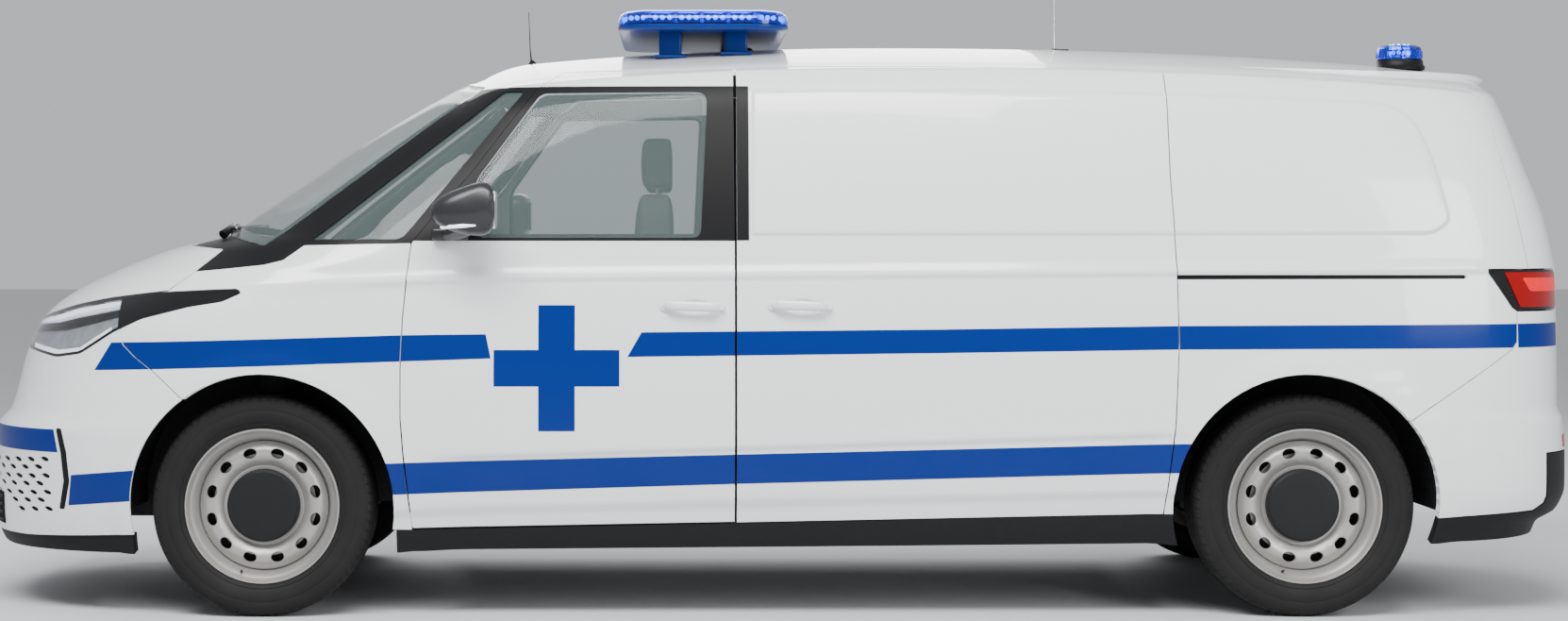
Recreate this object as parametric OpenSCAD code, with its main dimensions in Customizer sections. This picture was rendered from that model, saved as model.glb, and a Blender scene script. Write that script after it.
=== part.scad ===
// Long-wheelbase electric van converted to an ambulance.
// +X is forward, +Y is the left side, +Z is up, and the tyres stand on z = 0.

/* [Body] */
// Length from nose to tail
body_length = 5300; // [4500:10:6400]
// Width at the widest crease, without the mirrors
body_width = 1970; // [1700:10:2400]
// Height of the middle of the roof above the ground
roof_height = 1872; // [1600:10:2300]
// Thickness of the side walls, sliding doors and front doors
wall = 50; // [30:1:70]
// Thickness of the front wings, bumpers and bonnet
skin = 30; // [12:1:40]
// Thickness of the roof
roof_t = 40; // [20:1:70]
// Thickness of the window glass
glass_t = 5; // [3:0.5:8]
// Gap between a front door, the bonnet or the tailgate and the body
door_gap = 6; // [5:0.5:10]

/* [Wheels] */
// Distance between the two axles
wheelbase = 3330; // [2700:10:4000]
// Distance of the front axle behind the nose
front_overhang = 1008; // [900:4:1250]
// Distance between the middles of the two tyres of an axle
track = 1655; // [1500:5:1900]
// Outer diameter of the tyres
tyre_d = 710; // [590:5:780]
// Width of the tyres
tyre_w = 232; // [180:1:260]
// Outer diameter of the rims at their flanges
rim_d = 484; // [400:2:560]
// Radius of the wheel arches
arch_r = 422; // [400:1:460]
// Radius of the bore of the rims
hub_bore_r = 34; // [20:0.5:45]

/* [Cab] */
// Diameter of the steering wheel
steer_d = 380; // [300:5:450]
// Width of a front seat
seat_w = 500; // [400:5:560]

/* [Hospital room] */
// Length of the stretcher
stretcher_l = 1950; // [1600:10:2200]
// Width of the stretcher
stretcher_w = 560; // [440:5:680]
// Depth of the cabinet row along the wall
cabinet_d = 380; // [250:5:460]

/* [Roof equipment] */
// Length of the light bar along the car
bar_l = 570; // [400:5:700]
// Width of the light bar across the car
bar_w = 1200; // [900:10:1300]
// Diameter of the rear beacon
beacon_d = 160; // [100:2:200]
// Height of the rear whip antenna
whip_h = 300; // [150:5:400]

/* [Hidden] */

// Places that other pieces take their own from
nose_x = body_length / 2;
front_x = nose_x - front_overhang;
rear_x = front_x - wheelbase;
axle_z = tyre_d / 2;
house_r = arch_r + 26;
house_y = 490;
bead_y = 98;
kingpin_y = track / 2 - 122;
floor_z = 332;
floor_t = 36;

// The outlines below are drawn on the standard van: 5300 long, 1970 wide, 1872 high.
// These three functions carry a drawn place to the van that is asked for.
// Lengths next to the wheels stay, and the stretches between them take up the change.
draw_front = 1642;
draw_rear = -1688;
near = 470;
function place_x(x) = lookup(x, [
    [-3250, -nose_x - 600], [-2650, -nose_x],
    [draw_rear - near, rear_x - near], [draw_rear + near, rear_x + near],
    [draw_front - near, front_x - near], [draw_front + near, front_x + near],
    [2650, nose_x], [3250, nose_x + 600]]);
draw_low = 300;
draw_top = 1872;
function place_z(z) = z < draw_low ? z
    : z > draw_top ? roof_height + z - draw_top
    : draw_low + (z - draw_low) * (roof_height - draw_low) / (draw_top - draw_low);
function place_y(y) = y * body_width / 1970;
function placed(points) = [for (p = points) [place_x(p[0]), place_z(p[1])]];

// Side view of the nose from bumper to roof, then of the tail, as [height, x]
nose_line = [
    [235, 2650], [585, 2650], [640, 2606], [720, 2586], [800, 2572], [870, 2550],
    [930, 2518], [980, 2472], [1030, 2400], [1070, 2322], [1120, 2208], [1170, 2072],
    [1195, 1975], [1228, 1850], [1275, 1782], [1390, 1610], [1510, 1432], [1600, 1290],
    [1685, 1150], [1743, 1052], [1790, 900]];
tail_line = [
    [250, -2560], [300, -2625], [385, -2650], [575, -2645], [650, -2621], [1085, -2620],
    [1195, -2604], [1460, -2522], [1630, -2462], [1740, -2425], [1785, -2390]];
function flipped(line, low) = [for (p = line) if (p[0] >= low) [p[1], p[0]]];
function smooth(a, b, t) = let (u = max(0, min(1, (t - a) / (b - a)))) u * u * (3 - 2 * u);

// Height of the roof's middle line
function roof_line(x) = 1872
    - (x < -350 ? 92 * pow((-350 - x) / 2080, 2.2) : 75 * pow((x + 350) / 1400, 1.9))
    - (x > 820 ? 12 * pow((x - 820) / 100, 2) : 0);
function top_line(x) = x > 900 ? lookup(x, flipped(nose_line, 585))
    : x < -2390 ? lookup(x, flipped(tail_line, 385))
    : min(roof_line(x), x > 800 ? 1790 + (900 - x) * 0.25 : 1900);
function bottom_line(x) = lookup(x, [
    [-2650, 385], [-2625, 300], [-2560, 250], [-2000, 236], [1200, 206],
    [2500, 192], [2620, 205], [2650, 235]]);

// Half width at a height, with the crease at 680 and the roof rail above 1640
function half_width(z) = 985
    - (z > 680 ? 0.0001516 * pow(z - 680, 2) : 60 * pow((680 - z) / 450, 2.5))
    - (z > 1640 ? 40 * pow((z - 1640) / 130, 2.5) : 0);
// Rounding of the plan view towards the nose and the tail
function nose_start(z) = lookup(z, [
    [300, 1640], [900, 1640], [1100, 1400], [1200, 950], [1300, 650], [1700, 350]]);
function nose_power(z) = lookup(z, [
    [300, 2.7], [600, 2.6], [900, 2.2], [1120, 2.3], [1240, 3.1], [1700, 3.3]]);
tail_start = -1700;
tail_power = 4.2;
function rounded(t, n) = t <= 0 ? 1 : pow(max(0, 1 - pow(t, n)), 1 / n);
function plan_round(x, z) = x > 0
    ? rounded((x - nose_start(z))
        / (max(lookup(z, nose_line), x > 900 ? 0 : 1000) - nose_start(z)), nose_power(z))
    : rounded((tail_start - x) / (tail_start - lookup(z, tail_line)), tail_power);
function side_y(x, z) = let (
        lift = (1872 - roof_line(min(x, 1000))) * smooth(1250, 1700, z))
    max(4, half_width(z + lift) * plan_round(x, z));
// The crown of the roof, at a depth below its middle line
crown = 102;
function crown_y(x, z) = let (d = top_line(x) - z)
    x < 900 && d < crown
        ? max(4, half_width(1872 - crown) * pow(d / crown, 0.455) * plan_round(x, z))
        : side_y(x, z);

// One cross-section, drawn in by an inset, as [y, z] from the bottom to the top
side_levels = [330, 480, 680, 860, 1000, 1110, 1250, 1420, 1560, 1660];
top_depths = [125, 102, 75, 50, 28, 12, 4, 0];
function inward(d) = d >= 102 ? [0.9, 0.35] : d >= 75 ? [0.55, 0.85]
    : d >= 28 ? [0.25, 0.97] : [0, 1];
function section(x, inset) = let (
        low = bottom_line(x), high = top_line(x), f = min(1, (high - low) / 190))
    concat(
        [[place_y(side_y(x, low)) - inset, place_z(low) - (inset > 0 ? 40 : 0)]],
        [for (z = side_levels) if (z > low + 25 && z < high - 140)
            [place_y(side_y(x, z)) - inset, place_z(z)]],
        [for (d = top_depths) let (n = inward(d), z = high - d * f)
            [place_y(d == 0 ? 2 : crown_y(x, z)) - inset * n[0], place_z(z) - inset * n[1]]]);
function closed(half) = let (kept = [for (p = half) [max(1, p[0]), p[1]]], last = len(half) - 1)
    concat(kept, [for (i = [last:-1:0]) [-kept[i][0], kept[i][1]]]);

stations = [
    -2650, -2645, -2621, -2620, -2614, -2604, -2585, -2555, -2522, -2492, -2462, -2425,
    -2390, -2320, -2230, -2100, -1900, -1700, -1250, -700, -350, 0, 300, 550, 750, 899,
    901, 975, 1052, 1150, 1220, 1290, 1361, 1432, 1521, 1610, 1696, 1782, 1850, 1912, 1975,
    2072, 2140, 2208, 2265, 2322, 2361, 2400, 2436, 2472, 2495, 2518, 2550, 2572, 2590,
    2606, 2628, 2643, 2650];
function lean(x) = max(-1, min(1, x / 1500));
// One cross-section as a flat face with two sides
module slice(x, inset) {
    ring = closed(section(x, inset));
    around = [for (i = [0:len(ring) - 1]) i];
    polyhedron(
        [for (p = ring) [place_x(x) - inset * lean(x), p[0], p[1]]],
        [around, reversed(around)]);
}
// The solid body between two drawn places, its surface drawn in by an inset
module body_solid(from, to, inset = 0) {
    for (i = [0:len(stations) - 2])
        if (stations[i + 1] >= from && stations[i] <= to)
            hull() {
                slice(stations[i], inset);
                slice(stations[i + 1], inset);
            }
}
module body_shell(from, to, depth, start = 0) {
    difference() {
        body_solid(from, to, start);
        body_solid(from - 200, to + 200, start + depth);
    }
}
// A prism across the car over an outline of the side view, on the left from y = from
module across(outline, from = 0, to = 1300, shrink = 0) {
    translate([0, to, 0])
        rotate([90, 0, 0])
            linear_extrude(to - from)
                offset(delta = -shrink)
                    polygon(placed(outline));
}
module across_both(outline, shrink = 0) {
    across(outline, -1300, 1300, shrink);
}
module box(low, high) {
    translate(low)
        cube(high - low);
}
module right_side() {
    mirror([0, 1, 0])
        children();
}
module both_sides() {
    children();
    right_side() children();
}
module wheel_place(x) {
    translate([x, 0, axle_z])
        rotate([-90, 0, 0])
            children();
}
module arches() {
    for (x = [front_x, rear_x])
        translate([x, 1300, axle_z])
            rotate([90, 0, 0])
                cylinder(r = arch_r, h = 2600, $fn = 72);
}

// Seams of the side view, as [x, height]
door_front = [[1165, 1197], [1178, 1090], [1190, 960], [1197, 800], [1197, 640], [1188, 529], [1162, 284]];
door_x = 128;
door_slope = [[690, 1756], [771, 1697], [874, 1563], [977, 1424], [1055, 1334], [1165, 1197]];
slide_rear = [[-1262, 1757], [-1262, 1409], [-1276, 1098], [-1279, 870], [-1268, 619], [-1235, 329]];
rail_line = [[-2332, 1690], [-2021, 1708], [-1776, 1730], [-1262, 1757], [-550, 1771], [128, 1771],
    [690, 1756]];
pillar_front = [[1647, 1188], [1447, 1338], [1237, 1497], [953, 1712]];
screen_top = [1062, 1748];
screen_base = [1850, 1232];
bonnet_rear = [[1785, 1181], [2021, 1200]];
// The cowl panel's edge from above, as [x, y]
cowl_plan = [[1600, 768], [1770, 768], [1785, 752], [1800, 736], [1815, 717], [1830, 697], [1845, 675],
    [1860, 651], [1875, 623], [1890, 591], [1905, 555], [1920, 511], [1935, 456], [1950, 381], [1965, 250],
    [1973, 130], [1979, 1]];
bonnet_side = [[1785, 1181], [1869, 1106], [1956, 1042]];
bonnet_lip = [[1956, 1042], [2156, 1018], [2289, 994], [2397, 966], [2500, 938], [2700, 922]];
wing_top = [[1869, 1106], [1765, 1115], [1639, 1128], [1578, 1143], [1514, 1190], [1165, 1197]];
bumper_front_seam = [[2156, 1018], [2110, 925], [2099, 870], [1996, 790], [1860, 672]];
tail_seam = [[-2350, 1950], [-2332, 1690], [-2345, 1525], [-2376, 1371], [-2423, 1112]];
bumper_rear_seam = [[-2374, 978], [-2372, 871], [-2354, 856], [-2000, 622]];
lamp_line = [[-2277, 1112], [-2277, 1100], [-2357, 989], [-2374, 978]];
lamp_y = 700;
sill_top = [[1213, 279], [128, 301], [-1235, 329], [-1292, 330]];
headlamp_outline = [
    [2700, 838], [2469, 838], [2353, 827], [2256, 838], [2203, 867], [2135, 908], [2036, 952],
    [1877, 991], [1768, 1008], [1717, 1029], [1705, 1041], [1718, 1050], [1819, 1046], [1965, 1036],
    [2156, 1018], [2289, 994], [2397, 966], [2500, 938], [2700, 922]];
headlamp_y = 420;
// The same outline with its upper edge raised clear of the bumper's edge, for the cut
headlamp_cut = [for (p = headlamp_outline) [p[0], p[1] + (p[0] > 2100 && p[1] > 915 ? 15 : 0)]];
function reversed(list) = [for (i = [len(list) - 1:-1:0]) list[i]];

front_door_outline = concat([[door_x, 302]], [[door_x, 1771]], door_slope, door_front);
window_outline = [[241, 1212], [219, 1683], [757, 1680], [964, 1330], [964, 1212]];
quarter_outline = [[1490, 1206], [880, 1688], [812, 1688], [1196, 1208]];
sliding_door_outline = concat([[door_x, 1771], [-550, 1771]], slide_rear, [[door_x, 301]]);
belt_z = 1203;

// Body structure
module wheelhouses(x) {
    both_sides()
        translate([0, house_y, 0])
            wheel_place(x)
                cylinder(r = house_r + 6, h = 600, $fn = 72);
}
module floor_pan() {
    color("whitesmoke") {
        difference() {
            union() {
                intersection() {
                    body_solid(-2650, 2200, wall + 10);
                    union() {
                        box([place_x(-2540), -1000, floor_z], [front_x + 420, 1000, floor_z + floor_t]);
                        both_sides()
                            box([place_x(-1180), place_y(790), 232], [place_x(1130), 1000, floor_z + 1]);
                    }
                }
                intersection() {
                    body_solid(900, 2400, skin + 2);
                    wheelhouses(front_x);
                }
                intersection() {
                    body_solid(-2400, -900, wall + 10);
                    wheelhouses(rear_x);
                }
            }
            for (x = [front_x, rear_x])
                both_sides()
                    translate([0, house_y + 6, 0])
                        wheel_place(x)
                            cylinder(r = house_r, h = 700, $fn = 72);
            box([-nose_x, -1200, -10], [nose_x, 1200, 231]);
            box([front_x - 470, -house_y + 1, floor_z + floor_t], [front_x + 470, house_y - 1, 1200]);
            for (x = [front_x, rear_x])
                both_sides()
                    box([x - 470, house_y - 1, -10], [x + 470, 1200, floor_z]);
        }
    }
}
module roof_panel() {
    color("whitesmoke")
        intersection() {
            body_shell(-2650, 1250, roof_t);
            across_both(concat(rail_line, [[850, 1744], [953, 1712], screen_top, [1062, 2000], [-2352, 2000]]));
        }
}
module side_panel_left() {
    color("whitesmoke") {
        difference() {
            intersection() {
                body_shell(-2650, -1150, wall + 10);
                across(concat(slide_rear, [[-1292, 330], [-2000, 330]], reversed(bumper_rear_seam),
                    reversed(lamp_line), reversed([for (i = [1:4]) tail_seam[i]]), [[-2021, 1708], [-1776, 1730]]));
            }
            arches();
        }
        // Stop that the closed tailgate rests on
        intersection() {
            body_shell(-2650, -2200, 30, wall + 0.3);
            box([place_x(-2430), 0, place_z(1300)], [place_x(-2310), 1000, place_z(1300) + 40]);
        }
    }
}
module sliding_door_left() {
    color("whitesmoke")
        intersection() {
            body_shell(-1350, 200, wall + 10);
            across(sliding_door_outline);
        }
}
module front_wings() {
    color("whitesmoke") {
        both_sides()
            difference() {
                intersection() {
                    body_shell(1100, 2400, skin);
                    across(concat(reversed(wing_top), [[1956, 1042]], bumper_front_seam,
                        [[1800, 270], [1215, 208], [1213, 279]], [[1162, 284]], reversed(door_front)));
                }
                across(headlamp_outline);
                arches();
            }
        // Hinge leaves of the front doors
        both_sides()
            for (z = [655, 755])
                box([place_x(1197) - door_gap + 0.3, place_y(985) - wall, place_z(z)],
                    [place_x(1197) + 8, place_y(985) - skin + 8, place_z(z) + 36]);
    }
}
module windscreen_pillars() {
    color("dimgray")
        both_sides()
            difference() {
                intersection() {
                    body_shell(600, 1950, skin);
                    across(concat([bonnet_rear[0]], wing_top, reversed(door_slope),
                        [[850, 1744]], reversed(pillar_front)));
                }
                across(quarter_outline);
            }
}
module cowl_panel() {
    color("black")
        intersection() {
            body_shell(1600, 2100, skin);
            across_both([bonnet_rear[0], [1792, 1177], [2030, 1197], [2050, 1300], [1850, 1300],
                screen_base, pillar_front[0]]);
        }
}
module front_bumper() {
    color("whitesmoke") {
        difference() {
            intersection() {
                body_shell(1800, 2650, skin);
                across_both(concat(reversed(bonnet_lip), bumper_front_seam,
                    [[1860, 400], [2050, 262], [2443, 242], [2750, 241]]));
            }
            both_sides()
                across(headlamp_cut, place_y(headlamp_y));
            arches();
            // Way in for the towing eye
            translate([place_x(2545), 300, 525])
                rotate([0, 90, 0])
                    cylinder(r = 14, h = 200, $fn = 32);
        }
        // Posts that the closed bonnet rests on
        both_sides()
            intersection() {
                body_solid(2000, 2650, skin + 0.3);
                box([place_x(2340), 305, 580], [place_x(2380), 345, 1200]);
            }
    }
}
module front_valance() {
    color("black")
        intersection() {
            body_shell(1950, 2650, skin);
            across_both([[2072, 260.87], [2443, 242], [2750, 241], [2750, 199], [2072, 199]]);
        }
}
module rear_bumper() {
    color("whitesmoke")
        difference() {
            intersection() {
                body_shell(-2650, -1950, skin);
                across_both(concat(bumper_rear_seam, [[-2060, 314], [-2440, 334], [-2494, 380],
                    [-2486, 519], [-2750, 519], [-2750, 978]]));
            }
            box([-nose_x - 50, -place_y(lamp_y), place_z(654)], [place_x(-2440), place_y(lamp_y), 1200]);
            arches();
        }
}
module rear_valance() {
    color("black")
        difference() {
            intersection() {
                body_shell(-2650, -2000, skin);
                across_both([[-2060, 314], [-2440, 334], [-2494, 380], [-2486, 519], [-2750, 519],
                    [-2750, 150], [-2060, 150]]);
            }
            arches();
        }
}
module sill_covers() {
    color("black")
        both_sides()
            difference() {
                intersection() {
                    body_shell(-1400, 1300, wall + 10);
                    across(concat(sill_top, [[-1292, 150], [1213, 150]]));
                }
                arches();
            }
}

// Glass and lamps
module windscreen() {
    color([0.2, 0.25, 0.28, 0.5])
        intersection() {
            body_shell(800, 2000, glass_t, 1);
            across_both(concat(pillar_front, [screen_top, [1100, 2000], [2000, 2000], screen_base]));
        }
}
module quarter_glass() {
    color([0.2, 0.25, 0.28, 0.5])
        both_sides()
            intersection() {
                body_shell(700, 1700, glass_t, 2);
                across(quarter_outline);
            }
}
module headlamps() {
    color("gainsboro")
        both_sides()
            intersection() {
                body_shell(1600, 2650, skin + 25, 1);
                across(headlamp_outline, place_y(headlamp_y));
            }
}
module tail_lamps() {
    color("darkred")
        both_sides()
            difference() {
                intersection() {
                    body_shell(-2650, -2200, wall);
                    across(concat(lamp_line, [[-2750, 978], [-2750, 1106], [-2420, 1106], [-2420, 1112]]));
                }
                box([-nose_x - 50, -10, place_z(900)], [place_x(-2300), place_y(lamp_y), 1300]);
            }
}

// Front doors
module front_door_left() {
    color("whitesmoke")
        difference() {
            intersection() {
                body_solid(0, 1300);
                across(front_door_outline, shrink = door_gap);
                box([place_x(door_x) + door_gap + 4.5, 1, 0], [nose_x, 1200, 2400]);
            }
            body_solid(-200, 1500, wall);
            // The window frame is thinner than the door below it
            intersection() {
                body_solid(-200, 1500, skin);
                box([-nose_x, 0, place_z(belt_z)], [nose_x, 1200, 2400]);
            }
            across(window_outline);
        }
}
module door_glass_left() {
    color([0.2, 0.25, 0.28, 0.5])
        intersection() {
            body_shell(0, 1300, glass_t, 8);
            across(window_outline);
        }
}
module mirror_left() {
    color("dimgray")
        difference() {
            union() {
                hull() {
                    for (p = [[1075, 1010, 1290], [1075, 1120, 1285], [1060, 1015, 1360], [1060, 1105, 1350]])
                        translate([place_x(p[0]), place_y(p[1]), place_z(p[2])]) sphere(r = 26, $fn = 20);
                    for (p = [[915, 1005, 1230], [915, 1135, 1225], [915, 1010, 1365], [915, 1125, 1350]])
                        translate([place_x(p[0]), place_y(p[1]), place_z(p[2])]) sphere(r = 22, $fn = 20);
                }
                hull() {
                    translate([place_x(1080), place_y(930), place_z(1215)]) sphere(r = 22, $fn = 16);
                    translate([place_x(1000), place_y(930), place_z(1215)]) sphere(r = 22, $fn = 16);
                    translate([place_x(1040), place_y(1030), place_z(1255)]) sphere(r = 24, $fn = 16);
                    translate([place_x(980), place_y(1030), place_z(1255)]) sphere(r = 24, $fn = 16);
                }
            }
            body_solid(600, 1400, 0);
            box([place_x(885), place_y(950), place_z(1200)], [place_x(897), place_y(1200), place_z(1400)]);
        }
}

// Bonnet and tailgate
module bonnet() {
    color("whitesmoke")
        difference() {
            intersection() {
                body_shell(1700, 2650, skin);
                across_both(concat([[1792, 1177], [2030, 1197], [2050, 1400], [2750, 1400]],
                    reversed(bonnet_lip), reversed(bonnet_side)), shrink = door_gap);
            }
            // Nothing of the bonnet reaches under the cowl panel, so that it can open
            translate([0, 0, place_z(600)])
                linear_extrude(1000)
                    offset(delta = door_gap + 8)
                        polygon([for (side = [1, -1]) each [for (p = side > 0 ? cowl_plan : reversed(cowl_plan))
                            [place_x(p[0]), side * place_y(p[1])]]]);
        }
}
module tailgate() {
    color("whitesmoke")
        difference() {
            union() {
                intersection() {
                    body_shell(-2650, -2250, wall);
                    across_both(concat(tail_seam, [[-2750, 1112], [-2750, 1950]]), shrink = door_gap);
                }
                intersection() {
                    body_shell(-2650, -2250, wall);
                    box([-nose_x - 20, -place_y(lamp_y) + door_gap, place_z(654) + door_gap],
                        [place_x(-2424), place_y(lamp_y) - door_gap, place_z(1140)]);
                }
            }
            tailgate_window(0);
        }
}
module tailgate_window(shrink) {
    translate([-nose_x - 50, 0, 0])
        rotate([90, 0, 90])
            linear_extrude(400)
                offset(delta = -shrink)
                    polygon([for (p = [[-660, 1175], [660, 1175], [560, 1640], [-560, 1640]])
                        [place_y(p[0]), place_z(p[1])]]);
}
module tailgate_glass() {
    color([0.15, 0.2, 0.22, 0.5])
        intersection() {
            body_shell(-2650, -2250, glass_t, 3);
            tailgate_window(0);
        }
}

// Cab and hospital room
module partition() {
    color("lightgray")
        intersection() {
            body_solid(-300, 700, wall + 10);
            difference() {
                box([place_x(60), -1000, floor_z + floor_t], [place_x(60) + 30, 1000, place_z(1765)]);
                box([place_x(0), -380, place_z(1150)], [place_x(200), 380, place_z(1560)]);
            }
        }
}
module dashboard() {
    color("dimgray")
        intersection() {
            body_solid(900, 1900, wall + 16);
            union() {
                box([place_x(1150), -1000, place_z(880)], [place_x(1560), 1000, place_z(1130)]);
                hull() {
                    box([place_x(1190), -1000, place_z(1000)], [place_x(1500), 1000, place_z(1150)]);
                    box([place_x(1240), 180, place_z(1150)], [place_x(1420), 620, place_z(1205)]);
                }
                box([place_x(1120), -130, floor_z + floor_t], [place_x(1300), 130, place_z(900)]);
                box([place_x(1440), -house_y + 2, floor_z + floor_t], [place_x(1460), house_y - 2, place_z(900)]);
            }
        }
}
module steering_wheel() {
    color("black")
        difference() {
            translate([place_x(1020), place_y(390), place_z(1130)])
                rotate([0, -62, 0]) {
                    rotate_extrude($fn = 64)
                        translate([steer_d / 2 - 15, 0])
                            circle(r = 15, $fn = 24);
                    translate([0, 0, -20])
                        cylinder(r = 62, h = 40, $fn = 48);
                    for (a = [0, 120, 240])
                        rotate([0, 0, a])
                            box([20, -14, -8], [steer_d / 2 - 16, 14, 8]);
                    translate([0, 0, -220])
                        cylinder(r = 32, h = 210, $fn = 32);
                }
            box([place_x(1150), 0, 600], [place_x(1700), 1000, 1400]);
        }
}
module seat(x, y) {
    translate([place_x(x), place_y(y), floor_z + floor_t]) {
        box([-250, -seat_w / 2 + 50, 0], [200, seat_w / 2 - 50, 250]);
        box([-280, -seat_w / 2, 250], [240, seat_w / 2, 400]);
        hull() {
            box([-330, -seat_w / 2 + 10, 330], [-200, seat_w / 2 - 10, 360]);
            box([-470, -seat_w / 2 + 40, 960], [-370, seat_w / 2 - 40, 990]);
        }
        hull() {
            box([-470, -130, 1010], [-390, 130, 1020]);
            box([-490, -110, 1170], [-410, 110, 1180]);
        }
        for (y = [-60, 60])
            translate([-430, y, 985])
                cylinder(r = 8, h = 30, $fn = 24);
    }
}
module front_seats() {
    color("black") {
        seat(700, 400);
        seat(700, -400);
    }
}
module cabinet() {
    color("gainsboro")
        intersection() {
            body_solid(-2400, 200, wall + 10.3);
            difference() {
                box([place_x(-1150), -1000, floor_z + floor_t], [place_x(40), -place_y(900) + cabinet_d, place_z(1640)]);
                for (z = [470, 860, 1250])
                    for (i = [0:2])
                        box([place_x(-1120) + i * 395, -place_y(900) + 20, place_z(z)],
                            [place_x(-1120) + i * 395 + 360, 0, place_z(z) + 340]);
            }
        }
}
module stretcher() {
    color("silver")
        translate([place_x(-1250), place_y(120), floor_z + floor_t]) {
            box([-stretcher_l / 2, -stretcher_w / 2, 400], [stretcher_l / 2, stretcher_w / 2, 440]);
            for (x = [-stretcher_l / 2 + 120, stretcher_l / 2 - 160])
                for (y = [-stretcher_w / 2 + 20, stretcher_w / 2 - 60])
                    box([x, y, 0], [x + 40, y + 40, 400]);
            box([-stretcher_l / 2 + 120, -stretcher_w / 2 + 20, 120], [stretcher_l / 2 - 120, -stretcher_w / 2 + 60, 160]);
            box([-stretcher_l / 2 + 120, stretcher_w / 2 - 60, 120], [stretcher_l / 2 - 120, stretcher_w / 2 - 20, 160]);
        }
}
module stretcher_mattress() {
    color("royalblue")
        translate([place_x(-1250), place_y(120), floor_z + floor_t + 440])
            hull() {
                box([-stretcher_l / 2 + 10, -stretcher_w / 2 + 10, 0], [stretcher_l / 2 - 10, stretcher_w / 2 - 10, 50]);
                box([-stretcher_l / 2 + 30, -stretcher_w / 2 + 30, 50], [stretcher_l / 2 - 30, stretcher_w / 2 - 30, 80]);
            }
}

// Running gear
module battery_pack() {
    color("dimgray")
        difference() {
            box([place_x(-1120), -place_y(640), 205], [place_x(1100), place_y(640), floor_z]);
            for (x = [-900:300:900])
                box([place_x(x), -place_y(560), 200], [place_x(x) + 20, place_y(560), 209]);
        }
}
module front_subframe() {
    color("dimgray") {
        difference() {
            union() {
                box([front_x - 200, -330, 235], [front_x + 200, 330, floor_z]);
                both_sides() {
                    box([front_x - 45, 320, 240], [front_x + 45, kingpin_y + 30, 268]);
                    box([front_x - 140, 320, 250], [front_x - 40, 440, 268]);
                    // Strut above the knuckle, up to the top of the wheelhouse
                    translate([front_x, kingpin_y - 60, 0]) {
                        translate([0, 0, axle_z + 130.3])
                            cylinder(r = 32, h = 130, $fn = 32);
                        translate([0, 0, axle_z + 220])
                            cylinder(r = 50, h = house_r - 250, $fn = 32);
                        translate([0, 0, axle_z + house_r - 40])
                            cylinder(r = 30, h = 38.8, $fn = 32);
                    }
                }
            }
            box([front_x - 120, -250, 230], [front_x + 120, 250, 290]);
        }
        box([front_x - 180, -300, floor_z + floor_t], [front_x + 180, 300, 700]);
    }
}
module knuckle_left() {
    color("gray")
        difference() {
            union() {
                translate([front_x, kingpin_y, 268.3])
                    cylinder(r = 26, h = axle_z - 268, $fn = 40);
                translate([front_x, kingpin_y - 60, axle_z + 60])
                    cylinder(r = 30, h = 70, $fn = 40);
                translate([0, kingpin_y - 30, 0])
                    wheel_place(front_x)
                        cylinder(r = 62, h = 56, $fn = 48);
                translate([front_x - 26, kingpin_y - 86, axle_z + 20])
                    cube([52, 86, 60]);
                // Hub that carries the rim
                translate([0, kingpin_y + 20, 0])
                    wheel_place(front_x)
                        cylinder(r = hub_bore_r - 0.3, h = 150, $fn = 48);
                // Steering arm towards the rear
                translate([front_x - 130, kingpin_y - 26, axle_z - 30])
                    cube([110, 24, 24]);
            }
        }
}
module rear_axle() {
    color("dimgray") {
        for (side = [1, -1])
            scale([1, side, 1]) {
                translate([0, kingpin_y + 20, 0])
                    wheel_place(rear_x)
                        cylinder(r = hub_bore_r - 0.3, h = 150, $fn = 48);
                translate([0, kingpin_y - 60, 0])
                    wheel_place(rear_x)
                        cylinder(r = 60, h = 80.02, $fn = 48);
                box([rear_x - 30, 380, 230], [rear_x + 30, kingpin_y + 10, 262]);
                box([rear_x - 30, kingpin_y - 50, 240], [rear_x + 30, kingpin_y, axle_z - 40]);
                translate([rear_x + 90, 400, 262])
                    cylinder(r = 50, h = floor_z - 262, $fn = 32);
            }
        box([rear_x - 160, -420, 226], [rear_x + 160, 420, 262]);
    }
}
module crossmembers() {
    color("gray") {
        // Rear beam with four holes for a towing bracket
        difference() {
            box([place_x(-2500), -400, floor_z - 100], [place_x(-2440), 400, floor_z]);
            for (y = [-300, 300])
                for (z = [floor_z - 75, floor_z - 25])
                    translate([place_x(-2510), y, z])
                        rotate([0, 90, 0])
                            cylinder(r = 6.5, h = 90, $fn = 32);
        }
        // Front beam with a threaded socket for a towing eye
        difference() {
            box([place_x(2480), -430, 470], [place_x(2540), 430, 547]);
            translate([place_x(2541), 300, 525])
                rotate([0, -90, 0])
                    cylinder(r = 8, h = 50, $fn = 32);
        }
        both_sides()
            box([front_x + 200, 300, 270], [place_x(2480), 360, 330]);
        both_sides()
            box([place_x(2330), 300, 330], [place_x(2390), 360, 580]);
        both_sides()
            box([place_x(2390), 300, 480], [place_x(2480), 360, 540]);
    }
}

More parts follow.
